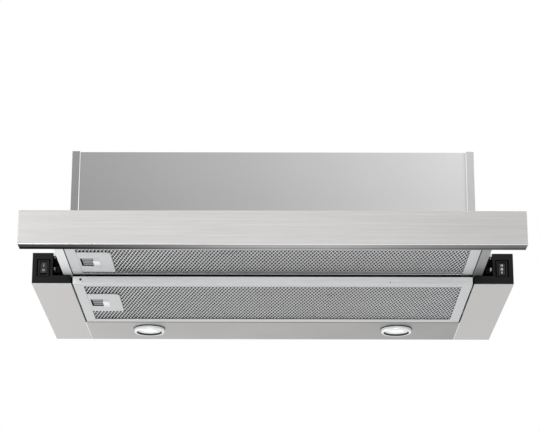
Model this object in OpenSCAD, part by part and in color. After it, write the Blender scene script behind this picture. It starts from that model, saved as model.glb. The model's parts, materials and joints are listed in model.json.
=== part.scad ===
/* [Body] */
// Width of the hood across the front
body_w = 598; // [590:1:900]
// Depth of the body from its front edge to the wall
body_d = 288; // [284:1:320]
// Height of the body below the cabinet
body_h = 40; // [40:1:50]
// Thickness of the sheet steel
sheet = 1; // [0.8:0.1:1.1]
// Width of the underside of each side panel
side_w = 49; // [47:1:60]
// Depth of the light panel in front of the wall
light_d = 95; // [90:1:110]
// Height of the flanges that stand round the filter opening
flange_h = 9; // [8:0.5:9.5]
// Depth of the black end caps
cap_d = 24; // [22:1:30]
// Width of the switch block of an end cap
cap_block_w = 25.5; // [24:0.5:26]
// Height of the lower arm of an end cap, from the underside of the body
cap_arm_h = 11; // [9:0.5:11.5]
// Wall thickness of the end caps
cap_wall = 2; // [1.5:0.1:2.5]

/* [Cabinet screws] */
// Distance of the cabinet screws from each side of the hood
screw_side = 21; // [19:0.5:24]
// Distance of the cabinet screws from the front edge and from the wall
screw_end = 49; // [44:0.5:54]
// Radius of the cabinet screw holes
screw_hole_r = 2.75; // [2:0.05:3.5]

/* [Motor box] */
// Distance from each side of the body to the motor box
box_side_gap = 41.5; // [39:0.5:59]
// Height of the motor box above the body
box_h = 144; // [142:1:200]
// Distance from the front edge of the body back to the motor box
box_front = 30; // [28:1:40]
// Distance from the wall to the motor box
box_rear = 5; // [3:1:10]
// Width of the folded edges of its side plates
box_flange = 10; // [8:0.5:12]
// How far the side plates stand above the top sheet
box_proud = 1; // [0.5:0.1:2]

/* [Duct outlet] */
// Outside diameter of the duct collar
duct_d = 119; // [110:1:125]
// Height of the duct collar
duct_h = 32; // [28:1:34]
// Wall of the duct collar
duct_wall = 2.5; // [2:0.1:3]
// Distance from the wall to the middle of the duct
duct_inset = 94; // [88:1:100]
// Thickness of the back-draught flaps
flap_t = 1.5; // [1.2:0.1:1.8]
// Diameter of the rod that carries the flaps
rod_d = 2.4; // [2:0.1:2.8]

/* [Blower] */
// Radius of the blower wheel
wheel_r = 50; // [46:1:51]
// Width of the blower wheel
wheel_w = 110; // [90:1:140]
// Number of blades in the blower wheel
blade_count = 28; // [16:1:36]
// Radial height of a blade
blade_h = 8; // [6:0.5:9]
// Thickness of a blade
blade_t = 0.8; // [0.6:0.1:1.2]
// Wall of the scroll housing
scroll_wall = 1.2; // [1:0.1:2]
// Radius of the motor
motor_r = 30; // [24:1:32]
// Length of the motor
motor_l = 76; // [70:1:80]
// Diameter of the motor shaft
shaft_d = 8; // [6:0.5:10]

/* [Visor] */
// How far the visor slides out
visor_travel = 123; // [110:1:130]
// Height of the visor's underside above the underside of the body
visor_lift = 12; // [12:0.1:13]
// Gap between the top of the visor and the cabinet
visor_head = 6; // [5.5:0.1:6.5]
// Width of the underside of a visor rail
visor_rail_w = 11.3; // [11:0.1:12]
// How far the rails reach into the body when the visor is out
rail_engaged = 60; // [40:1:60]

/* [Front panel] */
// Height of the front panel
panel_h = 42; // [40:1:60]
// Thickness of the front panel
panel_t = 17; // [12:1:25]
// Height of the panel's lower edge above the underside of the body
panel_lift = 9; // [7:0.5:11]
// Gap left between the closed panel and the body
panel_gap = 1.5; // [1.2:0.1:3]

/* [Grease filters] */
// Height of the lower filter cassette
lower_h = 9.5; // [9.2:0.1:9.8]
// Height of the upper filter cassette
upper_h = 8.5; // [8.4:0.1:9]
// Width of the frame round each filter
rail_w = 12.5; // [11:0.5:14]
// Width of the rear frame member of the lower filter
rear_rail_w = 14.5; // [12:0.5:16]
// Width of the rear lip of the upper filter
upper_rear_w = 2; // [1.5:0.1:4]
// Thickness of the filter frame's aluminium
foil = 0.8; // [0.6:0.1:0.9]
// Thickness of the diamond mesh
mesh_t = 0.6; // [0.4:0.1:0.8]
// Spacing of the mesh openings across the hood
mesh_pitch_x = 24; // [20:1:40]
// Spacing of the mesh openings from front to back
mesh_pitch_y = 20; // [16:1:30]
// Width of the metal between two mesh openings
mesh_web = 2.4; // [1.5:0.1:4]

/* [Filter latches] */
// Width of a latch plate
plate_w = 41; // [38:1:60]
// Depth of a latch plate
plate_d = 84; // [60:1:86]
// Radius of its round corner
plate_corner_r = 7; // [3:1:15]
// Width of the finger slider
slider_w = 14; // [12:0.5:15]
// Length of the finger slider
slider_l = 31; // [26:1:34]
// Travel of the slider
slider_travel = 6; // [4:0.5:7]

/* [Switches] */
// Width of a rocker switch frame
switch_w = 17; // [15:0.5:18]
// Height of a rocker switch frame
switch_h = 22; // [21:0.5:23]
// Height of the switch centre above the underside of the body
switch_lift = 20.6; // [19:0.1:22]
// Tilt of the two-position rocker at rest
rocker_tilt = 8; // [4:1:9]

/* [Lamps] */
// Distance of each lamp from the side of the hood
lamp_side = 132; // [99:1:179]
// Distance of the lamps from the wall
lamp_inset = 61; // [50:1:64]
// Radius of the lamp ring
lamp_ring_r = 20.5; // [20:0.5:25]
// Radius of the lamp lens
lamp_lens_r = 16; // [14:0.5:16.5]
// How far the lens hangs below the light panel
lamp_drop = 4; // [3:0.5:5]

/* [Hidden] */
$fn = 48;

// Clearances and the overrun of cuts
cut = 1;
seam = 0.5;
ease = 0.2;
soft_gap = 0.3;
run_gap = 0.1;

// Main planes of the body
half_w = body_w / 2;
front_y = -body_d / 2;
rear_y = body_d / 2;
floor_z = -body_h;
panel_x = half_w - side_w;
light_y = rear_y - light_d;
block_x = half_w - cap_block_w;
arm_top = floor_z + cap_arm_h;
top_lip = 3;

// Cabinet screws
screw_x = half_w - screw_side;
screw_y = rear_y - screw_end;

// Motor box
box_x = half_w - box_side_gap;
box_y0 = front_y + box_front;
box_y1 = rear_y - box_rear;
roof_z = box_h - sheet;
opening_rim = 4;
case_screw_r = 1.5;
case_head_r = 3.2;
case_head_h = 2;
case_shank_l = 6;
case_screw_rows = 3;
case_screw_margin = 20;

// Duct collar and flaps
duct_y = rear_y - duct_inset;
duct_r = duct_d / 2;
duct_bore_r = duct_r - duct_wall;
duct_flange_w = 9;
duct_flange_r = duct_r + duct_flange_w;
duct_flange_t = 2.5;
duct_screw_out = 5;
duct_screw_r = duct_r + duct_screw_out;
rod_r = rod_d / 2;
rod_lift = 8.3;
rod_z = box_h + rod_lift;
rod_seat = 1.5;
lip_w = 4;
lip_t = 1.5;
flap_gap = 1;
flap_r = duct_bore_r - flap_gap;
flap_edge = 3;
knuckle_r = 2.6;
knuckle_l = 22;
knuckle_pitch = 26;

// Cable entry
grommet_side = 22;
grommet_rear = 49;
grommet_x = -(box_x - grommet_side);
grommet_y = box_y1 - grommet_rear;
grommet_bore_r = 4;
grommet_neck_r = 7;
grommet_rim_r = 9.5;
grommet_rim_t = 2.5;

// Blower
wheel_gap = 4;
scroll_growth = 24;
cutoff_angle = 75;
outlet_rise = 11;
scroll_side_gap = 6;
inlet_lip = 6;
inlet_r = wheel_r - inlet_lip;
scroll_r0 = wheel_r + wheel_gap;
scroll_half = wheel_w / 2 + scroll_side_gap + scroll_wall;
wheel_z = roof_z - outlet_rise - scroll_r0;
wheel_y = duct_y - (scroll_r0 + scroll_growth + scroll_r0 * cos(cutoff_angle)) / 2;
hub_r = 9;
hub_l = 16;
hub_disc_t = 2;
end_ring_t = 2;
blade_lean = 12;
blade_steps = 4;
shaft_r = shaft_d / 2;
motor_gap = 4;
motor_x1 = -(hub_l / 2 + motor_gap);
motor_x0 = motor_x1 - motor_l;
bracket_t = 2;
bracket_ring_w = 3;
bracket_arm_w = 12;
bracket_arms = 3;

// Electrics
capacitor_r = 15;
capacitor_l = 45;
capacitor_rear = 79;
capacitor_drop = 43;
capacitor_y = box_y1 - capacitor_rear;
capacitor_z = roof_z - capacitor_drop;
terminal_size = [30, 60, 40];
terminal_drop = 11;
terminal_z = roof_z - terminal_drop - terminal_size[2];
terminal_lid = 6;
terminal_groove = 1;
driver_size = [100, 36, 20];
driver_inset = 12;
driver_ear = 8;
driver_ear_t = 2;

// Front panel and visor
panel_z0 = floor_z + panel_lift;
panel_z1 = panel_z0 + panel_h;
panel_back_y = front_y - panel_gap - visor_travel;
panel_front_y = panel_back_y - panel_t;
buffer_r = 3;
buffer_t = panel_gap - ease;
buffer_inset = 13;
buffer_drop = 4;
visor_z = floor_z + visor_lift;
visor_top_z = -visor_head;
upper_side_gap = 2.5;
upper_half = panel_x - upper_side_gap;
visor_rail_gap = 1.2;
rail_in_x = upper_half + visor_rail_gap;
rail_out_x = rail_in_x + visor_rail_w;
rail_end_y = front_y + rail_engaged;
visor_top_lap = 24;
visor_top_flange = 12;
catch_l = 16;
catch_w = 4;

// Slides and their runners
slide_w = 3.5;
slide_h = 10;
slide_drop = 5.2;
slide_z1 = -slide_drop;
slide_z0 = slide_z1 - slide_h;
slide_lead = 4;
runner_in_x = rail_out_x + sheet + run_gap;
runner_out_x = rail_out_x + slide_w + soft_gap + sheet;
runner_front_gap = 1;
runner_rear_gap = 20;
runner_tab_w = 12;

// Microswitches
micro_w = 8.5;
micro_h = 7.5;
micro_l = 17;
micro_set = 5;
micro_z = slide_z0 - sheet - soft_gap - ease - micro_h;
plunger_w = 2;
plunger_h = 3.6;
plunger_inset = 1.5;
plunger_in = 6;
plunger_travel = 2;

// Filters
lower_side_gap = 2;
lower_half = panel_x - lower_side_gap;
filter_rear_gap = 1;
lower_y0 = front_y + seam;
lower_y1 = light_y - filter_rear_gap;
lower_z = floor_z + soft_gap;
upper_front_gap = 2.5;
upper_y0 = panel_back_y + upper_front_gap;
upper_y1 = front_y - filter_rear_gap;
upper_z = visor_z;
tab_w = 10;
tab_t = 2;
tab_inset = 38;
notch_gap = 1;
lower_tab_l = 8;
lower_tab_lift = 4;
upper_tab_l = 5.5;
upper_tab_lift = sheet + soft_gap;
mitre_w = 0.4;
mitre_d = 0.3;
rivet_r = 1.6;
rivet_x = 12.5;
rivet_z = 4;
rivet_d = 0.5;

// Latches
lower_latch_shift = -2.75;
upper_latch_shift = 7.5;
lower_latch_y = (lower_y0 + lower_y1) / 2 + lower_latch_shift;
upper_latch_y = (upper_y0 + upper_y1) / 2 + upper_latch_shift;
tray_wall = 0.8;
tray_h = 7.4;
tray_play = 1.5;
tray_end_gap = 2;
tray_l = slider_l + 2 * tray_end_gap;
slider_t = 1.3;
slider_z = 5;
rib_h = 0.5;
rib_w = 1.2;
rib_count = 3;
tongue_w = 12;
tray_w = slider_w + slider_travel + 2 * tray_play + 2 * tray_wall;
tray_inset = 1.5;

// Switches
switch_side = 14;
switch_x = half_w - switch_side;
switch_z = floor_z + switch_lift;
switch_set = 0.8;
switch_d = 19;
switch_wall = 3.6;
switch_rim = 2.3;
rocker_gap = 0.6;
rocker_w = switch_w - 2 * switch_wall - 2 * rocker_gap;
pivot_depth = 7.5;
pivot_r = 1.3;
pivot_l = 1;
rocker_reach = 7.4;
rocker_front = 5.9;
rocker_dish = 1.2;
rocker_back = 2.5;
rocker_heel = 4;
spade_size = [6.3, 8, 0.8];
spade_pitch = 6;

// Lamps
lamp_x = half_w - lamp_side;
lamp_y = rear_y - lamp_inset;
lamp_neck_wall = 1.5;
lamp_neck_r = lamp_lens_r + lamp_neck_wall;
lamp_neck_h = 10;
lamp_ring_h = 6;
lamp_ring_round = 3;
lamp_house_h = 22;
lens_edge = 2;
lens_rise = lamp_drop - lens_edge;
lens_dome_r = (lamp_lens_r * lamp_lens_r + lens_rise * lens_rise) / (2 * lens_rise);

// Colours
steel = [0.74, 0.74, 0.73];
bright = [0.85, 0.85, 0.84];
zinc = [0.66, 0.67, 0.68];
black = [0.09, 0.09, 0.1];
aluminium = [0.78, 0.79, 0.8];

// A block between its lowest and its highest corner
module block(low, high) {
    translate(low) cube(high - low);
}

// A shape made for the right side, set on the left side
module at_left() {
    mirror([1, 0, 0]) children();
}

// A profile drawn across the hood, drawn out from front to back
module along_y(y0, y1) {
    translate([0, y1, 0]) rotate([90, 0, 0]) linear_extrude(y1 - y0) children();
}

// A profile drawn in the side view, drawn out across the hood
module along_x(x0, x1) {
    translate([x0, 0, 0]) rotate([90, 0, 90]) linear_extrude(x1 - x0) children();
}

// A rectangle between two corners
module plate_2d(low, high) {
    translate(low) square(high - low);
}

// Top plate of the body, with its cut-out below the motor box and four screw holes
module top_plate() {
    color(zinc) union() {
        difference() {
            block([-half_w, front_y, -sheet], [half_w, rear_y, 0]);
            for (s = [-1, 1])
                translate([s * (half_w - cap_block_w / 2), front_y, 0])
                    cube([cap_block_w + 2 * seam, 2 * cap_d, 4 * sheet], center = true);
            block([-box_x + box_flange + opening_rim, box_y0 + box_flange + opening_rim, -sheet - cut],
                  [box_x - box_flange - opening_rim, box_y1 - box_flange - opening_rim, cut]);
            for (x = [-1, 1], y = [-1, 1])
                translate([x * screw_x, y * screw_y, -sheet - cut])
                    cylinder(r = screw_hole_r, h = sheet + 2 * cut);
        }
        block([-block_x + seam, front_y, -sheet - top_lip], [block_x - seam, front_y + sheet, -sheet]);
    }
}

// Side panel: a folded profile, flat underneath, open towards the filter
module side_panel(notched) {
    wall_y = front_y + cap_d;
    back_y = rear_y - sheet;
    color(steel) difference() {
        union() {
            block([panel_x, front_y + seam, floor_z], [half_w, back_y, floor_z + sheet]);
            along_y(wall_y, back_y) {
                plate_2d([half_w - sheet, floor_z], [half_w, -sheet]);
                plate_2d([half_w - box_flange, -2 * sheet], [half_w, -sheet]);
                plate_2d([panel_x, floor_z], [panel_x + sheet, floor_z + sheet + flange_h]);
            }
        }
        if (notched)
            for (y = [lower_y0 + tab_inset, lower_y1 - tab_inset])
                block([panel_x - cut, y - tab_w / 2 - notch_gap, lower_z + lower_tab_lift - seam],
                      [panel_x + sheet + cut, y + tab_w / 2 + notch_gap, floor_z + sheet + flange_h + cut]);
        else
            block([panel_x - cut, lower_latch_y - tongue_w / 2 - notch_gap, lower_z + slider_z - seam],
                  [panel_x + sheet + cut, lower_latch_y + tongue_w / 2 + notch_gap,
                   lower_z + slider_z + slider_t + seam]);
    }
}
module side_panel_left() {
    at_left() side_panel(false);
}
module side_panel_right() {
    side_panel(true);
}

// Rear panel, which lies against the wall
module rear_panel() {
    color(zinc)
        block([-half_w, rear_y - sheet, floor_z], [half_w, rear_y, -sheet]);
}

// Light panel: the underside behind the filter, with two lamp holes
module light_panel() {
    reach = panel_x - soft_gap;
    back_y = rear_y - sheet;
    color(steel) difference() {
        union() {
            block([-reach, light_y, floor_z], [reach, back_y, floor_z + sheet]);
            block([-reach, light_y, floor_z], [reach, light_y + sheet, floor_z + sheet + flange_h]);
            for (x = [-reach, reach - sheet])
                block([x, light_y, floor_z], [x + sheet, back_y, floor_z + sheet + flange_h]);
        }
        for (s = [-1, 1])
            translate([s * lamp_x, lamp_y, floor_z - cut])
                cylinder(r = lamp_neck_r + ease, h = sheet + 2 * cut);
    }
}

// End cap: an L-shaped moulding with the switch block, the arm below the rail and the web between them
module end_cap() {
    low = floor_z + sheet;
    inner_x = panel_x + seam;
    color(black) along_y(front_y + cap_d - cap_wall, front_y + cap_d)
        plate_2d([runner_out_x + soft_gap, arm_top - cap_wall], [block_x + cap_wall, -sheet - seam]);
    color(black) difference() {
        along_y(front_y, front_y + cap_d) {
            plate_2d([block_x, low], [half_w, 0]);
            plate_2d([inner_x, low], [half_w, arm_top]);
        }
        along_y(front_y + cap_wall, front_y + cap_d + cut) {
            plate_2d([block_x + cap_wall, low + cap_wall], [half_w - cap_wall, -cap_wall]);
            plate_2d([inner_x + cap_wall, low + cap_wall], [half_w - cap_wall, arm_top - cap_wall]);
        }
        along_y(front_y - cut, front_y + cap_wall + cut)
            translate([switch_x, switch_z]) square([switch_w + ease, switch_h + ease], center = true);
    }
}
module end_cap_left() {
    at_left() end_cap();
}
module end_cap_right() {
    end_cap();
}

// Rocker switch body: a hollow frame that carries the rocker's pivots, with spade terminals
module switch_body(spades) {
    y0 = front_y + switch_set;
    y1 = y0 + switch_d;
    color(black) union() {
        difference() {
            along_y(y0, y1) translate([switch_x, switch_z]) square([switch_w, switch_h], center = true);
            along_y(y0 - cut, y1 - switch_wall)
                translate([switch_x, switch_z])
                    square([switch_w - 2 * switch_wall, switch_h - 2 * switch_rim], center = true);
            translate([switch_x, front_y + pivot_depth, switch_z]) rotate([0, 90, 0])
                cylinder(r = pivot_r + run_gap, h = switch_w - switch_wall, center = true);
        }
        for (i = [0 : spades - 1])
            translate([switch_x, y1 + spade_size[1] / 2, switch_z + (i - (spades - 1) / 2) * spade_pitch])
                cube(spade_size, center = true);
    }
}
module switch_body_left() {
    at_left() switch_body(2);
}
module switch_body_right() {
    switch_body(3);
}

// Rocker: a dished key with round ends to its pivot pin
module rocker(tilt) {
    points = [
        [-rocker_front, rocker_reach], [rocker_dish - rocker_front, 0], [-rocker_front, -rocker_reach],
        [-rocker_back, -rocker_reach], [rocker_back, -rocker_heel], [rocker_back, rocker_heel],
        [-rocker_back, rocker_reach]
    ];
    color(black) translate([switch_x, front_y + pivot_depth, switch_z]) rotate([tilt, 0, 0]) union() {
        along_x(-rocker_w / 2, rocker_w / 2) polygon(points);
        rotate([0, 90, 0]) cylinder(r = pivot_r, h = rocker_w + 2 * pivot_l, center = true);
    }
}
module rocker_left() {
    at_left() rocker(-rocker_tilt);
}
module rocker_right() {
    rocker(0);
}

// Microswitch in the mouth of the end cap, with a slot for its plunger
module microswitch() {
    x0 = block_x - micro_w;
    y0 = front_y + micro_set;
    color(black) difference() {
        block([x0, y0, micro_z], [block_x, y0 + micro_l, micro_z + micro_h]);
        translate([block_x - plunger_inset - plunger_w / 2, y0, micro_z + micro_h / 2])
            cube([plunger_w + 2 * soft_gap, 2 * (plunger_in + plunger_travel + seam),
                  plunger_h + 2 * soft_gap], center = true);
    }
}
module microswitch_left() {
    at_left() microswitch();
}
module microswitch_right() {
    microswitch();
}
module plunger() {
    color("white")
        translate([block_x - plunger_inset - plunger_w, front_y, micro_z + (micro_h - plunger_h) / 2])
            cube([plunger_w, micro_set + plunger_in, plunger_h]);
}
module plunger_left() {
    at_left() plunger();
}
module plunger_right() {
    plunger();
}

// Runner: a channel below the top plate that guides the slide
module runner() {
    y0 = front_y + runner_front_gap;
    y1 = front_y + rail_engaged + visor_travel + runner_rear_gap;
    tab_y = front_y + cap_d + seam;
    low = slide_z0 - soft_gap - sheet;
    high = slide_z1 + soft_gap;
    color(zinc) union() {
        along_y(y0, y1) {
            plate_2d([runner_in_x, low], [runner_out_x, low + sheet]);
            plate_2d([runner_in_x, high], [runner_out_x, high + sheet]);
            plate_2d([runner_out_x - sheet, low], [runner_out_x, -sheet]);
        }
        block([runner_out_x - sheet, tab_y, -2 * sheet], [runner_out_x + runner_tab_w, y1, -sheet]);
    }
}
module runner_left() {
    at_left() runner();
}
module runner_right() {
    runner();
}

// Slide: the moving channel, riveted to the outside of the visor rail
module slide() {
    y0 = panel_back_y + slide_lead;
    x1 = rail_out_x + slide_w;
    color(bright) along_y(y0, rail_end_y) {
        plate_2d([rail_out_x, slide_z0], [rail_out_x + sheet, slide_z1]);
        plate_2d([rail_out_x, slide_z0], [x1, slide_z0 + sheet]);
        plate_2d([rail_out_x, slide_z1 - sheet], [x1, slide_z1]);
    }
}
module slide_left() {
    at_left() slide();
}
module slide_right() {
    slide();
}

// Lamp ring: a rounded chrome ring with a neck through the light panel
module lamp_ring(x) {
    round_x = lamp_ring_r - lamp_ring_round;
    round_z = lamp_ring_round - lamp_ring_h;
    color("silver") translate([x, lamp_y, floor_z]) rotate_extrude() {
        intersection() {
            translate([round_x, round_z]) circle(lamp_ring_round);
            plate_2d([round_x, -lamp_ring_h], [lamp_ring_r, round_z]);
        }
        plate_2d([round_x, round_z], [lamp_ring_r, 0]);
        plate_2d([lamp_lens_r + run_gap, -lamp_ring_h], [round_x, 0]);
        plate_2d([lamp_lens_r + run_gap, -lamp_ring_h], [lamp_neck_r, lamp_neck_h]);
    }
}
module lamp_ring_left() {
    lamp_ring(-lamp_x);
}
module lamp_ring_right() {
    lamp_ring(lamp_x);
}

// Lamp lens: a low dome
module lamp_lens(x) {
    color([0.95, 0.96, 1]) translate([x, lamp_y, floor_z]) rotate_extrude() {
        plate_2d([0, -lens_edge], [lamp_lens_r, 0]);
        intersection() {
            translate([0, lens_dome_r - lamp_drop]) circle(lens_dome_r, $fn = 360);
            plate_2d([0, -lamp_drop], [lamp_lens_r, -lens_edge]);
        }
    }
}
module lamp_lens_left() {
    lamp_lens(-lamp_x);
}
module lamp_lens_right() {
    lamp_lens(lamp_x);
}

// Lamp housings above the lenses, stepped like a small heat sink
module lamp_housings() {
    color(zinc) for (s = [-1, 1])
        translate([s * lamp_x, lamp_y, floor_z]) rotate_extrude() {
            plate_2d([0, 0], [lamp_lens_r, lamp_house_h - 2 * lens_edge]);
            plate_2d([0, 0], [lamp_lens_r / 2, lamp_house_h - lens_edge]);
            plate_2d([0, lamp_house_h - lens_edge], [lamp_lens_r, lamp_house_h]);
        }
}

// Driver of the lamps, on the light panel inside the body
module led_driver() {
    y1 = rear_y - sheet - driver_inset;
    low = floor_z + sheet;
    color("white") {
        translate([-driver_size[0] / 2, y1 - driver_size[1], low]) cube(driver_size);
        translate([-driver_size[0] / 2 - driver_ear, y1 - driver_size[1], low])
            cube([driver_size[0] + 2 * driver_ear, driver_size[1], driver_ear_t]);
    }
}

// Heights of the screws along a side plate
function case_screw_z(i) =
    case_screw_margin + i * (box_h - 2 * case_screw_margin) / (case_screw_rows - 1);

// Places of the screws on the rear of the motor box, for one side
module at_case_screws() {
    for (i = [0 : case_screw_rows - 1])
        translate([box_x - box_flange / 2, box_y1, case_screw_z(i)]) rotate([-90, 0, 0]) children();
}

// Places of the screws on the flange of the duct collar
module at_duct_screws() {
    for (a = [45 : 90 : 315])
        translate([duct_screw_r * cos(a), duct_y + duct_screw_r * sin(a), box_h]) children();
}

// Front sheet of the motor box, behind the folded edges of the side plates
module box_front() {
    color(steel) block([sheet - box_x, box_y0 + sheet, 0], [box_x - sheet, box_y0 + 2 * sheet, box_h]);
}

// Top sheet of the motor box, with the duct opening and the hole of the cable grommet
module box_top() {
    color(steel) difference() {
        block([sheet - box_x, box_y0 + 2 * sheet, roof_z], [box_x - sheet, box_y1 - 2 * sheet, box_h]);
        translate([0, duct_y, roof_z - cut]) cylinder(r = duct_bore_r, h = sheet + 2 * cut);
        translate([grommet_x, grommet_y, roof_z - cut])
            cylinder(r = grommet_neck_r + run_gap, h = sheet + 2 * cut);
        at_duct_screws() cylinder(r = case_screw_r + run_gap, h = 4 * sheet, center = true);
    }
}

// Rear sheet of the motor box, with the holes of its screws
module box_rear() {
    color(steel) difference() {
        block([sheet - box_x, box_y1 - 2 * sheet, 0], [box_x - sheet, box_y1 - sheet, box_h]);
        for (m = [0, 1])
            mirror([m, 0, 0]) at_case_screws()
                cylinder(r = case_screw_r + run_gap, h = 6 * sheet, center = true);
    }
}

// Side plate of the motor box, folded over the front and rear sheets and onto the body
module box_side() {
    high = box_h + box_proud;
    color(zinc) difference() {
        union() {
            block([box_x - sheet, box_y0, 0], [box_x, box_y1, high]);
            block([box_x - box_flange, box_y0, 0], [box_x, box_y0 + sheet, high]);
            block([box_x - box_flange, box_y1 - sheet, 0], [box_x, box_y1, high]);
            block([box_x - box_flange, box_y0 + 2 * sheet, 0], [box_x, box_y1 - 2 * sheet, sheet]);
        }
        at_case_screws() cylinder(r = case_screw_r + run_gap, h = 6 * sheet, center = true);
    }
}
module box_side_left() {
    at_left() box_side();
}
module box_side_right() {
    box_side();
}

// Pan-head screw along Z, seated with its head on the plane z = 0
module pan_screw() {
    cylinder(r = case_head_r, h = case_head_h);
    translate([0, 0, -case_shank_l]) cylinder(r = case_screw_r, h = case_shank_l + case_head_h / 2);
}
module case_screws() {
    color("silver") {
        for (m = [0, 1])
            mirror([m, 0, 0]) at_case_screws() pan_screw();
        at_duct_screws() translate([0, 0, duct_flange_t]) pan_screw();
    }
}

// Duct collar with its flange, the lip that the flaps close on and the seats of the rod
module duct_spigot() {
    lip_top = rod_z - flap_t / 2 - soft_gap;
    color(black) difference() {
        translate([0, duct_y, 0]) rotate_extrude() {
            plate_2d([duct_bore_r, box_h], [duct_r, box_h + duct_h]);
            plate_2d([duct_bore_r, box_h], [duct_flange_r, box_h + duct_flange_t]);
            plate_2d([duct_bore_r - lip_w, lip_top - lip_t], [duct_r, lip_top]);
        }
        translate([0, duct_y, rod_z]) rotate([0, 90, 0])
            cylinder(r = rod_r + run_gap, h = 2 * (duct_bore_r + rod_seat + run_gap), center = true);
        at_duct_screws() cylinder(r = case_screw_r + run_gap, h = 4 * duct_flange_t, center = true);
    }
}

// Rod across the duct collar
module flap_rod() {
    color("silver") translate([0, duct_y, rod_z]) rotate([0, 90, 0])
        cylinder(r = rod_r, h = 2 * (duct_bore_r + rod_seat), center = true);
}

// Back-draught flap: half a disc with knuckles on the rod, at every other place along it
module flap(first_share) {
    color("dimgray") translate([0, duct_y, rod_z]) difference() {
        union() {
            intersection() {
                translate([0, 0, -flap_t / 2]) cylinder(r = flap_r, h = flap_t);
                block([-duct_r, flap_edge, -flap_t], [duct_r, duct_r, flap_t]);
            }
            for (x = [first_share * knuckle_pitch, (first_share - 2) * knuckle_pitch]) {
                translate([x + (knuckle_pitch - knuckle_l) / 2, 0, 0]) {
                    rotate([0, 90, 0]) cylinder(r = knuckle_r, h = knuckle_l);
                    block([0, 0, -flap_t / 2], [knuckle_l, flap_edge + cut, flap_t / 2]);
                }
            }
        }
        rotate([0, 90, 0]) cylinder(r = rod_r + run_gap, h = 2 * duct_r, center = true);
    }
}
module flap_rear() {
    flap(0);
}
module flap_front() {
    translate([0, 2 * duct_y, 0]) mirror([0, 1, 0]) flap(1);
}

// Grommet of the mains cable in the roof of the motor box
module cable_grommet() {
    color(black) translate([grommet_x, grommet_y, 0]) rotate_extrude() {
        plate_2d([grommet_bore_r, roof_z - grommet_rim_t], [grommet_neck_r, box_h + grommet_rim_t]);
        plate_2d([grommet_bore_r, box_h], [grommet_rim_r, box_h + grommet_rim_t]);
        plate_2d([grommet_bore_r, roof_z - grommet_rim_t], [grommet_rim_r, roof_z]);
    }
}

// Radius of the scroll at an angle, counted from the cut-off round to the outlet
function scroll_r(a) = scroll_r0 + scroll_growth * (a - cutoff_angle) / (360 - cutoff_angle);

// Outline of the scroll in the side view, set in by a wall
function scroll_outline(inset) = concat(
    [for (a = [cutoff_angle : 15 : 360])
        [wheel_y + (scroll_r(a) - inset) * cos(a), wheel_z + (scroll_r(a) - inset) * sin(a)]],
    [[wheel_y + scroll_r(360) - inset, roof_z], [wheel_y + scroll_r0 * cos(cutoff_angle) + inset, roof_z]]
);

// Half of the scroll housing: spiral wall, side plate and rounded inlet
module scroll_half() {
    x1 = scroll_half;
    color(zinc) difference() {
        union() {
            along_x(0, x1) difference() {
                polygon(scroll_outline(0));
                polygon(scroll_outline(scroll_wall));
            }
            along_x(x1 - scroll_wall, x1) polygon(scroll_outline(0));
        }
        translate([x1, wheel_y, wheel_z]) rotate([0, 90, 0])
            cylinder(r = inlet_r, h = 4 * scroll_wall, center = true);
    }
}
module scroll_left() {
    at_left() scroll_half();
}
module scroll_right() {
    scroll_half();
}

// Point of a blade at a share t of its height, on the face set off by side
function blade_point(t, side) =
    let (r = wheel_r - blade_h * (1 - t), a = blade_lean * t * t)
    [r * cos(a) - side * sin(a), r * sin(a) + side * cos(a)];

// Blade outline in the side view, a curved strip that leans forward
function blade_outline() = concat(
    [for (i = [0 : blade_steps]) blade_point(i / blade_steps, 0)],
    [for (i = [blade_steps : -1 : 0]) blade_point(i / blade_steps, blade_t)]
);

// Blower wheel: hub, disc, two rings and the blades between them
module impeller() {
    color("gainsboro") translate([0, wheel_y, wheel_z]) difference() {
        union() {
            rotate([0, 90, 0]) cylinder(r = wheel_r - blade_h / 2, h = hub_disc_t, center = true);
            rotate([0, 90, 0]) cylinder(r = hub_r, h = hub_l, center = true);
            for (x = [-wheel_w / 2, wheel_w / 2 - end_ring_t])
                translate([x, 0, 0]) rotate([0, 90, 0]) difference() {
                    cylinder(r = wheel_r, h = end_ring_t);
                    translate([0, 0, -cut]) cylinder(r = wheel_r - blade_h, h = end_ring_t + 2 * cut);
                }
            for (i = [0 : blade_count - 1])
                rotate([360 * i / blade_count, 0, 0])
                    along_x(-wheel_w / 2 + end_ring_t / 2, wheel_w / 2 - end_ring_t / 2)
                        polygon(blade_outline());
        }
        rotate([0, 90, 0]) cylinder(r = shaft_r, h = hub_l + 2 * cut, center = true);
    }
}

// Motor shaft, fixed in the hub of the wheel
module motor_shaft() {
    color("silver") translate([motor_x0 - motor_gap, wheel_y, wheel_z]) rotate([0, 90, 0])
        cylinder(r = shaft_r, h = hub_l / 2 + motor_gap - motor_x0);
}

// Motor: a drum with stepped end shields and a bore for the shaft
module motor() {
    step = motor_gap;
    color("dimgray") translate([motor_x0, wheel_y, wheel_z]) rotate([0, 90, 0]) rotate_extrude() {
        plate_2d([shaft_r + run_gap, step], [motor_r, motor_l - step]);
        plate_2d([shaft_r + run_gap, 0], [motor_r - 2 * step, motor_l]);
    }
}

// Motor bracket: a ring on the motor and arms to the side plate of the scroll
module motor_bracket() {
    arm_end = inlet_r + bracket_ring_w;
    color(zinc) translate([-scroll_half - bracket_t, wheel_y, wheel_z]) rotate([0, 90, 0])
        linear_extrude(bracket_t) difference() {
            union() {
                circle(motor_r + bracket_ring_w);
                for (i = [0 : bracket_arms - 1])
                    rotate(i * 360 / bracket_arms) translate([0, -bracket_arm_w / 2])
                        square([arm_end, bracket_arm_w]);
            }
            circle(motor_r);
        }
}

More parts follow.
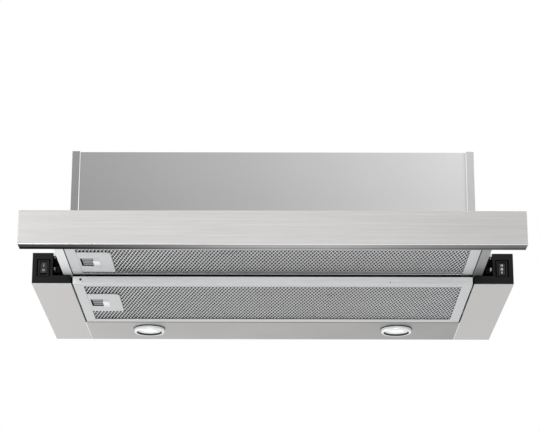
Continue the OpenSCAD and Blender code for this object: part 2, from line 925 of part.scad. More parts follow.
// Run capacitor on the right side plate
module capacitor() {
    color("white") translate([box_x - sheet, capacitor_y, capacitor_z]) rotate([0, -90, 0]) {
        cylinder(r = capacitor_r, h = capacitor_l);
        cylinder(r = capacitor_r / 4, h = capacitor_l + capacitor_r / 2);
    }
}

// Terminal box with its lid, on the left side plate below the cable entry
module terminal_box() {
    x0 = -(box_x - sheet);
    y0 = grommet_y - terminal_size[1] / 2;
    lid_x = terminal_size[0] - terminal_lid;
    color(black) difference() {
        translate([x0, y0, terminal_z]) cube(terminal_size);
        translate([x0 + lid_x, y0, terminal_z]) difference() {
            translate([0, -cut, -cut])
                cube([terminal_groove, terminal_size[1] + 2 * cut, terminal_size[2] + 2 * cut]);
            translate([-cut, terminal_groove, terminal_groove])
                cube([terminal_groove + 2 * cut, terminal_size[1] - 2 * terminal_groove,
                      terminal_size[2] - 2 * terminal_groove]);
        }
    }
}

// Front panel: a folded stainless tray, open at the back
module front_panel() {
    color(bright) difference() {
        block([-half_w, panel_front_y, panel_z0], [half_w, panel_back_y, panel_z1]);
        block([-half_w + sheet, panel_front_y + sheet, panel_z0 + sheet],
              [half_w - sheet, panel_back_y + cut, panel_z1 - sheet]);
    }
}

// Inner plate that closes the back of the front panel
module panel_back() {
    color(steel)
        block([-half_w + sheet, panel_back_y - sheet, panel_z0 + sheet],
              [half_w - sheet, panel_back_y, panel_z1 - sheet]);
}

// Buffers on the back of the panel, which meet the end caps
module panel_buffers() {
    color(black) for (s = [-1, 1])
        translate([s * (half_w - buffer_inset), panel_back_y, -buffer_drop]) rotate([-90, 0, 0])
            cylinder(r = buffer_r, h = buffer_t);
}

// Visor rail: a channel with the filter on its lower flange
module visor_rail(with_catch) {
    color(steel) union() {
        along_y(panel_back_y, rail_end_y) {
            plate_2d([rail_in_x, visor_z], [rail_out_x, visor_z + sheet]);
            plate_2d([rail_out_x - sheet, visor_z], [rail_out_x, visor_top_z - sheet]);
            plate_2d([rail_in_x, visor_top_z - 2 * sheet], [rail_out_x, visor_top_z - sheet]);
        }
        if (with_catch)
            block([rail_in_x, upper_latch_y - catch_l / 2, visor_z],
                  [rail_in_x + catch_w, upper_latch_y + catch_l / 2, upper_z + slider_z - soft_gap]);
    }
}
module visor_rail_left() {
    at_left() visor_rail(true);
}
module visor_rail_right() {
    visor_rail(false);
}

// Top sheet of the visor, with a flange up the back of the front panel
module visor_top() {
    color(steel) union() {
        block([-rail_out_x, panel_back_y, visor_top_z - sheet],
              [rail_out_x, front_y + visor_top_lap, visor_top_z]);
        block([-rail_out_x, panel_back_y, visor_top_z - sheet],
              [rail_out_x, panel_back_y + sheet, visor_top_z + visor_top_flange]);
    }
}

// A mitre line in the underside of a filter frame, from a corner towards the mesh
module mitre_line(x, y, dx, dy, z0) {
    angle = atan2(dy, dx);
    translate([x, y, z0]) rotate([0, 0, angle]) translate([0, -mitre_w / 2, -cut])
        cube([norm([dx, dy]), mitre_w, cut + mitre_d]);
}

// Filter frame: a mitred channel of aluminium, with two hooks at the right end
module filter_frame(half, y0, y1, z0, h, back_w, tab_l, tab_lift, latch_y) {
    color(aluminium) difference() {
        union() {
            difference() {
                block([-half, y0, z0], [half, y1, z0 + h]);
                block([-half + foil, y0 + foil, z0 + foil], [half - foil, y1 - foil, z0 + h - foil]);
                block([-half + rail_w, y0 + rail_w, z0 - cut], [half - rail_w, y1 - back_w, z0 + h + cut]);
            }
            for (y = [y0 + tab_inset, y1 - tab_inset])
                block([half - foil, y - tab_w / 2, z0 + tab_lift],
                      [half + tab_l, y + tab_w / 2, z0 + tab_lift + tab_t]);
        }
        for (s = [-1, 1]) {
            mitre_line(s * half, y0, -s * rail_w, rail_w, z0);
            mitre_line(s * half, y1, -s * rail_w, -back_w, z0);
        }
        block([-half - cut, latch_y - tongue_w / 2 - seam, z0 + slider_z - soft_gap],
              [-half + foil + cut, latch_y + tongue_w / 2 + seam, z0 + slider_z + slider_t + soft_gap]);
        translate([-half + rivet_x, y0, z0 + rivet_z]) rotate([90, 0, 0])
            cylinder(r = rivet_r, h = 2 * rivet_d, center = true);
    }
}

// Left edge of the latch tray, measured from the edge of the filter frame
function tray_x(half) = -half + rail_w + tray_inset;

// The pocket that the mesh and the pad leave for the latch
module latch_pocket(half, latch_y) {
    x0 = tray_x(half) - ease;
    plate_2d([x0, latch_y - tray_l / 2 - ease], [x0 + tray_w + 2 * ease, latch_y + tray_l / 2 + ease]);
}

// Whether a mesh opening stays clear of the latch plate
function mesh_clear(half, x, y, latch_y) =
    x > -half + rail_w + plate_w + mesh_pitch_x / 2 || abs(y - latch_y) > (plate_d + mesh_pitch_y) / 2;

// Diamond mesh: a thin sheet with staggered diamond openings
module filter_mesh(half, y0, y1, z0, back_w, latch_y) {
    edge = foil + ease;
    wide = 2 * (half - rail_w);
    deep = y1 - back_w - y0 - rail_w;
    mid_y = y0 + rail_w + deep / 2;
    cols = floor(wide / mesh_pitch_x) - 1;
    rows = 2 * floor(deep / mesh_pitch_y) - 2;
    a = (mesh_pitch_x - mesh_web) / 2;
    b = (mesh_pitch_y - mesh_web) / 2;
    color("lightgray") translate([0, 0, z0 + foil]) linear_extrude(mesh_t) difference() {
        plate_2d([-half + edge, y0 + edge], [half - edge, y1 - edge]);
        for (j = [0 : rows], i = [0 : cols - j % 2]) {
            x = (i - (cols - j % 2) / 2) * mesh_pitch_x;
            y = mid_y + (j - rows / 2) * mesh_pitch_y / 2;
            if (mesh_clear(half, x, y, latch_y))
                translate([x, y]) polygon([[-a, 0], [0, -b], [a, 0], [0, b]]);
        }
        latch_pocket(half, latch_y);
    }
}

// Filter pad: the layers of knitted aluminium inside the cassette
module filter_pad(half, y0, y1, z0, h, latch_y) {
    edge = foil + ease;
    low = z0 + foil + mesh_t;
    color("gray") translate([0, 0, low]) linear_extrude(h - 2 * foil - mesh_t - ease) difference() {
        plate_2d([-half + edge, y0 + edge], [half - edge, y1 - edge]);
        latch_pocket(half, latch_y);
        plate_2d([-half, latch_y - tongue_w / 2 - seam],
                 [tray_x(half) + cut, latch_y + tongue_w / 2 + seam]);
    }
}

// Latch plate: a flat plate with one round corner and the tray of the slider
module latch_plate(half, z0, latch_y) {
    x0 = -half + rail_w + run_gap;
    x1 = -half + rail_w + plate_w;
    y0 = latch_y - plate_d / 2;
    y1 = latch_y + plate_d / 2;
    r = plate_corner_r;
    tx = tray_x(half);
    color(bright) difference() {
        union() {
            translate([0, 0, z0]) linear_extrude(foil) {
                plate_2d([x0, y0 + r], [x1, y1]);
                plate_2d([x0, y0], [x1 - r, y1]);
                translate([x1 - r, y0 + r]) circle(r);
            }
            block([tx, latch_y - tray_l / 2, z0], [tx + tray_w, latch_y + tray_l / 2, z0 + tray_h]);
        }
        block([tx + tray_wall, latch_y - tray_l / 2 + tray_wall, z0 - cut],
              [tx + tray_w - tray_wall, latch_y + tray_l / 2 - tray_wall, z0 + tray_h - tray_wall]);
        block([tx - cut, latch_y - tongue_w / 2 - seam, z0 + slider_z - soft_gap],
              [tx + tray_wall + cut, latch_y + tongue_w / 2 + seam, z0 + slider_z + slider_t + soft_gap]);
    }
}

// Latch slider with finger ribs and the tongue that reaches for the catch
module latch_slider(half, z0, latch_y, catch_x) {
    x0 = tray_x(half) + tray_wall + tray_play;
    color("silver") union() {
        block([x0, latch_y - slider_l / 2, z0 + slider_z],
              [x0 + slider_w, latch_y + slider_l / 2, z0 + slider_z + slider_t]);
        block([-catch_x + soft_gap, latch_y - tongue_w / 2, z0 + slider_z],
              [x0 + cut, latch_y + tongue_w / 2, z0 + slider_z + slider_t]);
        for (i = [0 : rib_count - 1])
            translate([x0, latch_y + (i - (rib_count - 1) / 2) * slider_l / rib_count - rib_w / 2,
                       z0 + slider_z - rib_h])
                cube([slider_w, rib_w, rib_h + slider_t / 2]);
    }
}

// Upper filter, carried by the visor
module upper_filter_frame() {
    filter_frame(upper_half, upper_y0, upper_y1, upper_z, upper_h, upper_rear_w,
                 upper_tab_l, upper_tab_lift, upper_latch_y);
}
module upper_filter_mesh() {
    filter_mesh(upper_half, upper_y0, upper_y1, upper_z, upper_rear_w, upper_latch_y);
}
module upper_filter_pad() {
    filter_pad(upper_half, upper_y0, upper_y1, upper_z, upper_h, upper_latch_y);
}
module upper_latch_plate() {
    latch_plate(upper_half, upper_z, upper_latch_y);
}
module upper_latch() {
    latch_slider(upper_half, upper_z, upper_latch_y, rail_in_x);
}

// Lower filter, carried by the body
module lower_filter_frame() {
    filter_frame(lower_half, lower_y0, lower_y1, lower_z, lower_h, rear_rail_w,
                 lower_tab_l, lower_tab_lift, lower_latch_y);
}
module lower_filter_mesh() {
    filter_mesh(lower_half, lower_y0, lower_y1, lower_z, rear_rail_w, lower_latch_y);
}
module lower_filter_pad() {
    filter_pad(lower_half, lower_y0, lower_y1, lower_z, lower_h, lower_latch_y);
}
module lower_latch_plate() {
    latch_plate(lower_half, lower_z, lower_latch_y);
}
module lower_latch() {
    latch_slider(lower_half, lower_z, lower_latch_y, panel_x);
}

top_plate();
side_panel_left();
side_panel_right();
rear_panel();
light_panel();
end_cap_left();
end_cap_right();
switch_body_left();
switch_body_right();
microswitch_left();
microswitch_right();
runner_left();
runner_right();
lamp_ring_left();
lamp_ring_right();
lamp_lens_left();
lamp_lens_right();
lamp_housings();
led_driver();
box_front();
box_top();
box_rear();
box_side_left();
box_side_right();
case_screws();
duct_spigot();
flap_rod();
cable_grommet();
scroll_left();
scroll_right();
motor();
motor_bracket();
capacitor();
terminal_box();
rocker_left();
rocker_right();
plunger_left();
plunger_right();
impeller();
motor_shaft();
flap_rear();
flap_front();
front_panel();
panel_back();
panel_buffers();
visor_rail_left();
visor_rail_right();
visor_top();
slide_left();
slide_right();
upper_filter_frame();
upper_filter_mesh();
upper_filter_pad();
upper_latch_plate();
upper_latch();
lower_filter_frame();
lower_filter_mesh();
lower_filter_pad();
lower_latch_plate();
lower_latch();
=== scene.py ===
"""A slim pull-out range hood with its visor pulled out: brushed panel, grease filters, lamps and blower."""
import json
import math
import bmesh
import bpy
from mathutils import Matrix, Vector, noise

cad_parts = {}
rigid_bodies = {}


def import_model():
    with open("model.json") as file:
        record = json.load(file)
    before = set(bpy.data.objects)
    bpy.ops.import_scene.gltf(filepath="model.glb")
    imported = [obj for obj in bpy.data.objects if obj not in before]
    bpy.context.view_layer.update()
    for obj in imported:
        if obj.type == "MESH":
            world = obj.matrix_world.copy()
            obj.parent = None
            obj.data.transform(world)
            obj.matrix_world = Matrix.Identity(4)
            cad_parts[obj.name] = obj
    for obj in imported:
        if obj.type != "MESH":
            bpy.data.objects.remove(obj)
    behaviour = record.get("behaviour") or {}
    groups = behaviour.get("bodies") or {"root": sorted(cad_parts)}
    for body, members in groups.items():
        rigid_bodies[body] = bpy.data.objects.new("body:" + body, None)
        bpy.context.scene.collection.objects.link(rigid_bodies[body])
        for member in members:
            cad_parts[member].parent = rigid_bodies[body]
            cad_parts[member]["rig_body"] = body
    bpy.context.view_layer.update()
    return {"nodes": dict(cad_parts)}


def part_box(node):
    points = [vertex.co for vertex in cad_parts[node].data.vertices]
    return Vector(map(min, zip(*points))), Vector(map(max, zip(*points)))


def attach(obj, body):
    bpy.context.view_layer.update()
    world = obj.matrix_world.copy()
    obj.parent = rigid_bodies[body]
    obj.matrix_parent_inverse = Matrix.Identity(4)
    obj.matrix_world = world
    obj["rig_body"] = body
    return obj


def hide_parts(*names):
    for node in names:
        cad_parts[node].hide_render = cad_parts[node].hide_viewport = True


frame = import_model()
NODES = frame["nodes"]
SLOTS = {name: node.material_slots[0].material.name for name, node in NODES.items()}

# Everything is in metres. MM turns a size in millimetres into metres
MM = 0.001
HALF_WIDTH = 0.3
QUARTER = math.pi / 2

# Points nearer than WELD are one point. The angles between two faces are those up to which they count as
# one flat face, from which their edge is worth rounding, and from which it is shaded sharp
WELD = 0.01 * MM
FLAT_ANGLE = math.radians(0.3)
EDGE_ANGLE = math.radians(30)
SOFT_ANGLE = math.radians(40)

# An edge is rounded only where it and its faces are this many times as large as the rounding
EDGE_ROOM = 2.2

# The photograph's camera, found from the hood's corners
PHOTO_WIDTH = 540
FOCAL_PIXELS = 1892
SENSOR_WIDTH = 36
CAMERA_PLACE = (3.6 * MM, -2406.8 * MM, -662.3 * MM)
CAMERA_PITCH = math.radians(17.44)
CAMERA_YAW = math.radians(-0.18)
CAMERA_ROLL = math.radians(0.16)

# White surroundings: their strength for the camera and for gloss, and as light on the hood
WHITE = 1.0
SOFT_WORLD = 0.75

# The floor lies far below the hood, which hangs from a cabinet
FLOOR_GREY = 0.86
FLOOR_SIZE = 14
FLOOR_HEIGHT = -4

# Soft lamps of the studio: place, the point each looks at, size and watts
STUDIO_LAMPS = {
    "panel_lamp": ((-1.0, -1.3, 0.5), (-0.1, -0.28, 0), (0.7, 0.7), 6.5),
    "under_lamp": ((-0.9, 0.5, -0.9), (0, 0, 0), (0.9, 0.9), 4.4),
    "front_lamp": ((0, -2.2, -1.2), (0, -0.15, -0.03), (1.4, 0.8), 10),
    "box_lamp": ((0.8, -0.29, 0.7), (0, -0.11, 0.07), (0.4, 0.3), 9),
}

# Expanded metal of the grease filters. The short way of a diamond lies along X
MESH_PITCH = (4.45 * MM, 15 * MM)
MESH_LAP = 5 * MM
STRAND_W = 0.7 * MM
STRAND_T = 0.25 * MM
STRAND_TILT = 0.17 * MM

# Knitted wool behind the mesh: its distance, the step of its grid, and the height and pitch of its lumps
WOOL_DEPTH = 2.0 * MM
WOOL_STEP = 4 * MM
WOOL_RISE = 0.5 * MM
WOOL_WAVES = 170

# How wide the rails of each filter frame are: at the sides, the front and the rear
FILTER_RAILS = {
    "lower_filter": (12.5 * MM, 12.5 * MM, 14.5 * MM),
    "upper_filter": (12.5 * MM, 12.5 * MM, 2 * MM),
}

# Tray of a latch: half its length, and its two ends measured from the left edge of the latch plate
TRAY_HALF = 18.5 * MM
TRAY_START = -2 * MM
TRAY_END = 27 * MM

# Slider of a latch: width, length, travel, play at the end of its window, and the places of its ribs from
# its middle. The lip starts at a share of the slider, the pressed lines lie at shares of the latch plate
SLIDER_W = 14 * MM
SLIDER_L = 31 * MM
SLIDER_TRAVEL = 6 * MM
WINDOW_PLAY = 1.5 * MM
RIBS = (-1, 0, 1)
LIP_START = 0.25
PRESSED_LINES = (0.1, 0.9)

# Strips with rounded edges, in millimetres: how far their low corner and their high corner lie from the
# two points that they are measured from, and their rounding
SLIDER_PAD = ((0.2, 0, 1.6), (0, 0, 0.3), 0.4)
SLIDER_RIB = ((0.8, -1.5, 0.5), (-0.4, 1.5, 2), 0.45)
SLIDER_LIP = ((-0.6, 0, -0.5), (0.4, 1.5, -0.08), 0.15)
WINDOW_LINE = ((0.3, -2.2, 0), (0.2, 2, 0.45), 0.1)
PRESSED_LINE = ((3, -0.5, -0.25), (-5, 0.5, 0.25), 0.2)
BODY_FOLD = ((-0.5, 0, -0.3), (0.5, 0, 0.6), 0.2)
BOX_FOLD = ((-0.45, 0, 0), (0.45, 1.2, -1), 0.15)
PANEL_EDGE = ((0.4, 0, 0.15), (-0.4, 1, 1.2), 0.35)
PANEL_HEM = ((0.6, -1.6, -1.1), (-0.6, -0.1, 0.3), 0.4)
LEFT_GAP = ((0.05, 2, 0.1), (-0.1, -2, 6), 0.1)
RIGHT_GAP = ((-0.45, 2, 0.1), (-0.05, -2, 2), 0.1)
STRIP_LIP = ((1, -0.1, -0.12), (-1, 1.3, 0.3), 0.1)
SWITCH_HOUSING = ((0.3, 14, 0.3), (-0.3, 19, -0.3), 0.4)
SPADE = ((-3.15, 18.5, -0.4), (3.15, 0, 0.4), 0.15)
SPADE_PITCH = 6 * MM

# Rings of a switch bezel, in millimetres: how much smaller than the switch they are across and upwards,
# the same for their holes, how far behind its front they start and end, and their rounding
BEZEL_RIM = ((0.3, 0.3), (7.2, 4.8), (1.9, 15), 0.2)
BEZEL_STEP = ((4, 2.2), (7.2, 4.8), (0, 2.2), 0.3)
BEZEL_GROOVE = ((0, 0), (6, 4), (1.4, 2.2), 0.15)

# Rocker: the key's front face dips towards its middle. The pivot lies behind the front of the end cap
ROCKER_W = 8.6 * MM
ROCKER_REACH = 7.4 * MM
ROCKER_DIP = 1.2 * MM
ROCKER_FRONT = 5.9 * MM
ROCKER_BACK = 2.5 * MM
ROCKER_HEEL = 4 * MM
ROCKER_PIVOT = 7.5 * MM
ROCKER_ROUNDING = 0.4 * MM
ROCKER_TILT = math.radians(-8)

# Marks painted on the rockers: thickness, how far they reach into the key, line width and radius of the O
MARK_T = 0.12 * MM
MARK_SINK = 0.3 * MM
MARK_W = 0.8 * MM
ZERO_R = 1.6 * MM
BAR_PLACES = {"one": (0,), "two": (-0.85 * MM, 0.85 * MM)}

# A mark is a kind, its height above the middle of the rocker and its length
LEFT_MARKS = [("one", 3.4 * MM, 4 * MM), ("zero", -3.4 * MM, 0)]
RIGHT_MARKS = [("two", 4.6 * MM, 2.4 * MM), ("zero", 0, 0), ("one", -4.6 * MM, 2.6 * MM)]

# Lamp ring: play round the lens, roll of the bead, the points along it, the share of the ring's depth at
# which it starts, how far it reaches into the panel, the flat beside its crown, and the neck above it
LENS_PLAY = 0.3 * MM
BEAD_ROLL = 1.9 * MM
BEAD_POINTS = 7
BEAD_SIDE = 0.45
BEAD_LAP = 0.5 * MM
CROWN_FLAT = 0.6 * MM
NECK_SET_IN = 3 * MM
NECK_H = 9.5 * MM

# Seat of the inner seal, a dark ring that paints the shadow line inside the bead: its width, heights in the
# ring as shares of the ring's depth, and the seal's lap
SEAT_W = 1.1 * MM
SEAT_TOP = -0.55
SEAT_EDGE = -0.93
CROWN_EDGE = -0.985
SEAL_LOW_INSIDE = -0.84
SEAL_LOW_OUTSIDE = -0.96
SEAL_LAP = 0.1 * MM

# Sections in millimetres, each point a distance from a radius and a height: the seal outside the ring, a dark
# ring that paints the shadow line round it, and the line pressed into the lens at a share of its radius, grey
# as painted shade.
# Below them, the steps of a full turn
OUTER_SEAL = [(-0.3, 0.1), (0.9, 0.1), (0.7, -0.8), (-0.3, -1.3)]
LENS_RING = [(-0.3, 0.3), (-0.3, -0.05), (0.3, -0.05), (0.3, 0.3)]
LENS_RING_SHARE = 0.75
LAMP_STEPS = 96
SMALL_STEPS = 24

# Dimples in the front of the lower filter: X, Z and radius in millimetres. A point of their section is a
# share of the radius and a height in millimetres
DIMPLES = {"filter_rivet": (-238.5, -34.2, 1.6), "filter_punch": (146, -37.2, 0.6)}
DIMPLE_SECTION = [(0, 0.5), (1, 0.5), (1, -0.15), (0.7, -0.3), (0, -0.3)]

# Screws, in shares of the head's radius: the head, the shank and the cross recess, a black cross of painted
# shade that stands just proud of the head. Screws above ROOF_SCREWS stand upright, the others look backwards
PAN_HEAD = [(0, 0), (0.45, -0.03), (0.8, -0.16), (1, -0.42), (1, -0.55), (0.5, -0.55)]
SHANK_R = 0.5
RECESS_ARMS = ((0.55, 0.1), (0.1, 0.55))
RECESS_FLOOR = -0.2
RECESS_FACE = -0.035
RECESS_PROUD = 0.02 * MM
ROOF_SCREWS = 140 * MM

# Where a node's second finish starts: the panel's fold, the floors of the latch trays, the filter's front.
# These second finishes paint shade on the fold and the tray floors, and light on the filter's front.
# A face looks down or forward where its normal's Z or Y lies below these
FOLD_TOP = -30.5 * MM
UPPER_TRAY_FLOOR = -27.2 * MM
LOWER_TRAY_FLOOR = -38.9 * MM
FILTER_FRONT_END = -142 * MM
FACES_DOWN = -0.7
FACES_FORWARD = -0.5

# Width of the rounded edges on each dressed node, in millimetres
EDGE_WIDTHS = {
    "front_panel": 0.8, "panel_back": 0.3, "visor_top": 0.3, "visor_rail_left": 0.3, "visor_rail_right": 0.3,
    "slide_left": 0.25, "slide_right": 0.25, "runner_left": 0.2, "runner_right": 0.2,
    "side_panel_left": 0.3, "side_panel_right": 0.3, "light_panel": 0.3, "rear_panel": 0.3, "top_plate": 0.3,
    "end_cap_left": 0.5, "end_cap_right": 0.5, "microswitch_left": 0.4, "microswitch_right": 0.4,
    "plunger_left": 0.4, "plunger_right": 0.4, "box_front": 0.3, "box_top": 0.3, "box_rear": 0.3,
    "box_side_left": 0.3, "box_side_right": 0.3, "upper_filter_frame": 0.35, "lower_filter_frame": 0.35,
    "upper_latch_plate": 0.25, "lower_latch_plate": 0.25, "upper_latch": 0.2, "lower_latch": 0.2,
    "led_driver": 1.0, "terminal_box": 0.8, "capacitor": 1.0, "motor_bracket": 0.3, "cable_grommet": 0.6,
    "duct_spigot": 0.4, "flap_rear": 0.3, "flap_front": 0.3, "lamp_housings": 0.4, "panel_buffers": 0.4,
}

# Nodes whose flat faces have holes, and so keep their triangles
KEPT_TRIANGLES = ("end_cap_left", "end_cap_right", "upper_filter_frame", "lower_filter_frame")


class Shade:
    """A shader socket. Sums and products written on it become Math nodes beside it."""

    def __init__(self, finish, socket):
        self.finish = finish
        self.socket = socket

    def maths(self, operation, first, second):
        return self.finish.node("Math", {"operation": operation}, {0: first, 1: second})

    def __add__(self, other):
        return self.maths("ADD", self, other)

    def __sub__(self, other):
        return self.maths("SUBTRACT", self, other)

    def __rsub__(self, other):
        return self.maths("SUBTRACT", other, self)

    def __mul__(self, other):
        return self.maths("MULTIPLY", self, other)

    def __gt__(self, other):
        return self.maths("GREATER_THAN", self, other)

    __radd__ = __add__
    __rmul__ = __mul__


class Finish:
    """The node tree of a material or of the world, with one method that adds any node."""

    def __init__(self, owner):
        self.owner = owner
        owner.use_nodes = True
        self.tree = owner.node_tree
        self.tree.nodes.clear()

    def node(self, kind, settings, sockets, out=0):
        """Adds a node and returns one of its outputs. Its settings are set before its sockets."""
        node = self.tree.nodes.new("ShaderNode" + kind)
        for key, value in settings.items():
            if key == "stops":
                self.set_stops(node.color_ramp, value)
            else:
                setattr(node, key, value)
        for key, value in sockets.items():
            if isinstance(value, Shade):
                self.tree.links.new(value.socket, node.inputs[key])
            else:
                node.inputs[key].default_value = value
        return Shade(self, node.outputs[out]) if node.outputs else None

    def set_stops(self, ramp, stops):
        """Places a ramp's stops, each a share and a grey or a colour."""
        while len(ramp.elements) < len(stops):
            ramp.elements.new(1)
        for element, (share, tone) in zip(ramp.elements, stops):
            element.position = share
            element.color = colour(tone)

    def place(self, scale, turn=(0, 0, 0)):
        """Object coordinates, stretched and turned."""
        spot = self.node("TexCoord", {}, {}, out="Object")
        return self.node("Mapping", {}, {"Vector": spot, "Scale": scale, "Rotation": turn})

    def grain(self, scale, detail=3, roughness=0.55, turn=(0, 0, 0)):
        """Noise in waves for each metre, with one scale for all axes or one for each."""
        scales = scale if isinstance(scale, tuple) else (scale, scale, scale)
        where = self.place(scales, turn)
        sizes = {"Vector": where, "Scale": 1.0, "Detail": detail, "Roughness": roughness}
        return self.node("TexNoise", {}, sizes)

    def spread(self, value, low, high, start=0.3, end=0.7):
        """A value between two noise levels, spread from low to high."""
        sockets = {"Value": value, "From Min": start, "From Max": end, "To Min": low, "To Max": high}
        return self.node("MapRange", {}, sockets)

    def across(self):
        """How far a point lies from the left end of the hood to its right end, as a share."""
        spot = self.node("TexCoord", {}, {}, out="Object")
        left_to_right = self.node("SeparateXYZ", {}, {"Vector": spot})
        return self.spread(left_to_right, 0, 1, -HALF_WIDTH, HALF_WIDTH)

    def mix(self, factor, first, second, blend="MIX"):
        settings = {"data_type": "RGBA", "blend_type": blend}
        return self.node("Mix", settings, {0: factor, 6: colour(first), 7: colour(second)}, out=2)

    def painted_shade_across(self, tone, stops):
        """A colour multiplied by greys that change from the left end to the right end: painted shade."""
        painted_shade = self.node("ValToRGB", {"stops": stops}, {"Fac": self.across()})
        return self.mix(1.0, tone, painted_shade, "MULTIPLY")

    def mottled(self, pattern, base, contrast):
        """A colour that a pattern makes darker and lighter by a share."""
        return self.mix(pattern, tinted(1 - contrast, base), tinted(1 + contrast, base))

    def bump(self, height, strength, distance):
        return self.node("Bump", {}, {"Height": height, "Strength": strength, "Distance": distance})

    def surface(self, sockets):
        shader = self.node("BsdfPrincipled", {}, sockets)
        self.node("OutputMaterial", {}, {"Surface": shader})
        return self.owner


def colour(value):
    """A colour with its alpha, from a grey or three numbers. A socket stays as it is."""
    if isinstance(value, Shade):
        return value
    if isinstance(value, (int, float)):
        value = (value, value, value)
    return (*value, 1.0)


def tinted(grey, tint):
    return tuple(grey * part for part in tint)


# Height of the finest relief of a metal, and how far noise shifts the tones of a sheet with painted light and
# shade
FINE_RELIEF = 0.05 * MM
SPECKLE_SHIFT = 0.04
CLOUD_SHIFT = 0.05


def brushed_metal(name, base, contrast, roughness, across, along, turn=(0, 0, 0), metallic=0.75, painted_shade=None):
    """Metal with long brush lines. across and along are waves for each metre. The greys of the last argument,
    if given, darken the tone across the hood as painted shade.
    """
    metal = Finish(bpy.data.materials.new(name))
    long_lines = metal.grain((along, across, across), 4, 0.6, turn)
    fine_lines = metal.grain((4 * along, 4 * across, 4 * across), 2, 0.5, turn)
    lines = 0.65 * long_lines + 0.35 * fine_lines
    tone = metal.mottled(metal.spread(lines, 0, 1, 0.36, 0.64), base, contrast)
    return metal.surface({
        "Base Color": metal.painted_shade_across(tone, painted_shade) if painted_shade else tone,
        "Metallic": metallic,
        "Roughness": metal.spread(lines, roughness - 0.05, roughness + 0.07),
        "Normal": metal.bump(lines, 0.12, FINE_RELIEF),
    })


def satin_metal(name, base, contrast, roughness, speckle, metallic=0.6):
    """Coated or rolled sheet: slow clouds and a fine speckle."""
    metal = Finish(bpy.data.materials.new(name))
    clouds = metal.grain(9, 2)
    fine = metal.grain(speckle, 2)
    shade = 0.5 * clouds + 0.5 * fine
    return metal.surface({
        "Base Color": metal.mottled(metal.spread(shade, 0, 1, 0.38, 0.62), base, contrast),
        "Metallic": metallic,
        "Roughness": metal.spread(clouds, roughness - 0.03, roughness + 0.03),
        "Normal": metal.bump(fine, 0.08, FINE_RELIEF),
    })


def painted_shading_sheet(name, stops, metallic=0.3, roughness=0.46, specular=0.5):
    """Satin sheet whose tone changes slowly from its left end to its right end: painted light and shade."""
    sheet = Finish(bpy.data.materials.new(name))
    speckle = sheet.grain(600, 2)
    clouds = sheet.grain(7, 2)
    shift = SPECKLE_SHIFT * speckle + CLOUD_SHIFT * clouds - (SPECKLE_SHIFT + CLOUD_SHIFT) / 2
    return sheet.surface({
        "Base Color": sheet.node("ValToRGB", {"stops": stops}, {"Fac": sheet.across() + shift}),
        "Metallic": metallic,
        "Specular IOR Level": specular,
        "Roughness": sheet.spread(clouds, roughness - 0.04, roughness + 0.04),
        "Normal": sheet.bump(speckle, 0.06, FINE_RELIEF),
    })


def zinc_sheet(name, base, contrast, roughness, spangle):
    """Galvanised sheet with its spangles."""
    metal = Finish(bpy.data.materials.new(name))
    where = metal.place((spangle, spangle, spangle))
    flakes = metal.node("TexVoronoi", {}, {"Vector": where, "Scale": 1.0}, out="Color")
    tone = metal.node("SeparateColor", {}, {"Color": flakes})
    fine = metal.grain(700, 2)
    return metal.surface({
        "Base Color": metal.mottled(tone, base, contrast),
        "Metallic": 1.0,
        "Roughness": metal.spread(tone, roughness - 0.06, roughness + 0.06, 0, 1),
        "Normal": metal.bump(fine, 0.06, FINE_RELIEF),
    })


def moulded_plastic(name, base, roughness, grain, depth, specular=0.5):
    """Moulded plastic with a spark-eroded grain."""
    plastic = Finish(bpy.data.materials.new(name))
    pits = plastic.grain(grain)
    clouds = plastic.grain(25, 2)
    return plastic.surface({
        "Base Color": plastic.mottled(plastic.spread(clouds, 0, 1), base, 0.12),
        "Roughness": plastic.spread(pits, roughness - 0.07, roughness + 0.07),
        "Specular IOR Level": specular,
        "Normal": plastic.bump(pits, depth, 0.08 * MM),
    })


def chrome_plate(name):
    """Bright plating with a faint haze."""
    plate = Finish(bpy.data.materials.new(name))
    haze = plate.grain(160)
    return plate.surface({
        "Base Color": plate.mix(plate.spread(haze, 0, 1), 0.8, 0.88),
        "Metallic": 1.0,
        "Roughness": plate.spread(haze, 0.06, 0.14),
    })


def lit_lens(name):
    """Frosted cover of a lamp that is on."""
    lens = Finish(bpy.data.materials.new(name))
    frost = lens.grain(420, 2)
    shade = lens.spread(frost, 0, 1)
    return lens.surface({
        "Base Color": lens.mix(shade, 0.82, 0.88),
        "Roughness": lens.spread(frost, 0.25, 0.4),
        "Emission Color": lens.mix(shade, (0.93, 0.95, 1.0), 1.0),
        "Emission Strength": 0.34,
        "Normal": lens.bump(frost, 0.1, 0.1 * MM),
    })


def wound_core(name):
    """Varnished steel sheets of the motor, stacked along its shaft."""
    core = Finish(bpy.data.materials.new(name))
    stack = core.grain((1600, 0, 0), 2)
    spots = core.grain(120)
    return core.surface({
        "Base Color": core.mix(core.spread(spots, 0, 1), (0.03, 0.03, 0.035), (0.07, 0.065, 0.06)),
        "Metallic": 0.6,
        "Roughness": core.spread(spots, 0.35, 0.55),
        "Normal": core.bump(stack, 0.3, 0.2 * MM),
    })


def soft_rubber(name):
    """Black rubber with dust on it."""
    rubber = Finish(bpy.data.materials.new(name))
    dust = rubber.grain(300, 4)
    return rubber.surface({
        "Base Color": rubber.mix(rubber.spread(dust, 0, 1), 0.015, 0.035),
        "Roughness": rubber.spread(dust, 0.6, 0.8),
        "Normal": rubber.bump(dust, 0.15, 0.1 * MM),
    })


def knitted_wool_painted_shade(name):
    """Knitted aluminium inside the cassettes, near black as painted shade behind the mesh: tangled lighter
    and darker threads.
    """
    wool = Finish(bpy.data.materials.new(name))
    threads = wool.grain((900, 500, 500), 5, 0.7)
    return wool.surface({
        "Base Color": wool.mix(wool.spread(threads, 0, 1, 0.4, 0.6), 0.005, 0.05),
        "Metallic": 0.7,
        "Roughness": wool.spread(threads, 0.35, 0.6),
        "Normal": wool.bump(threads, 0.7, 1 * MM),
    })
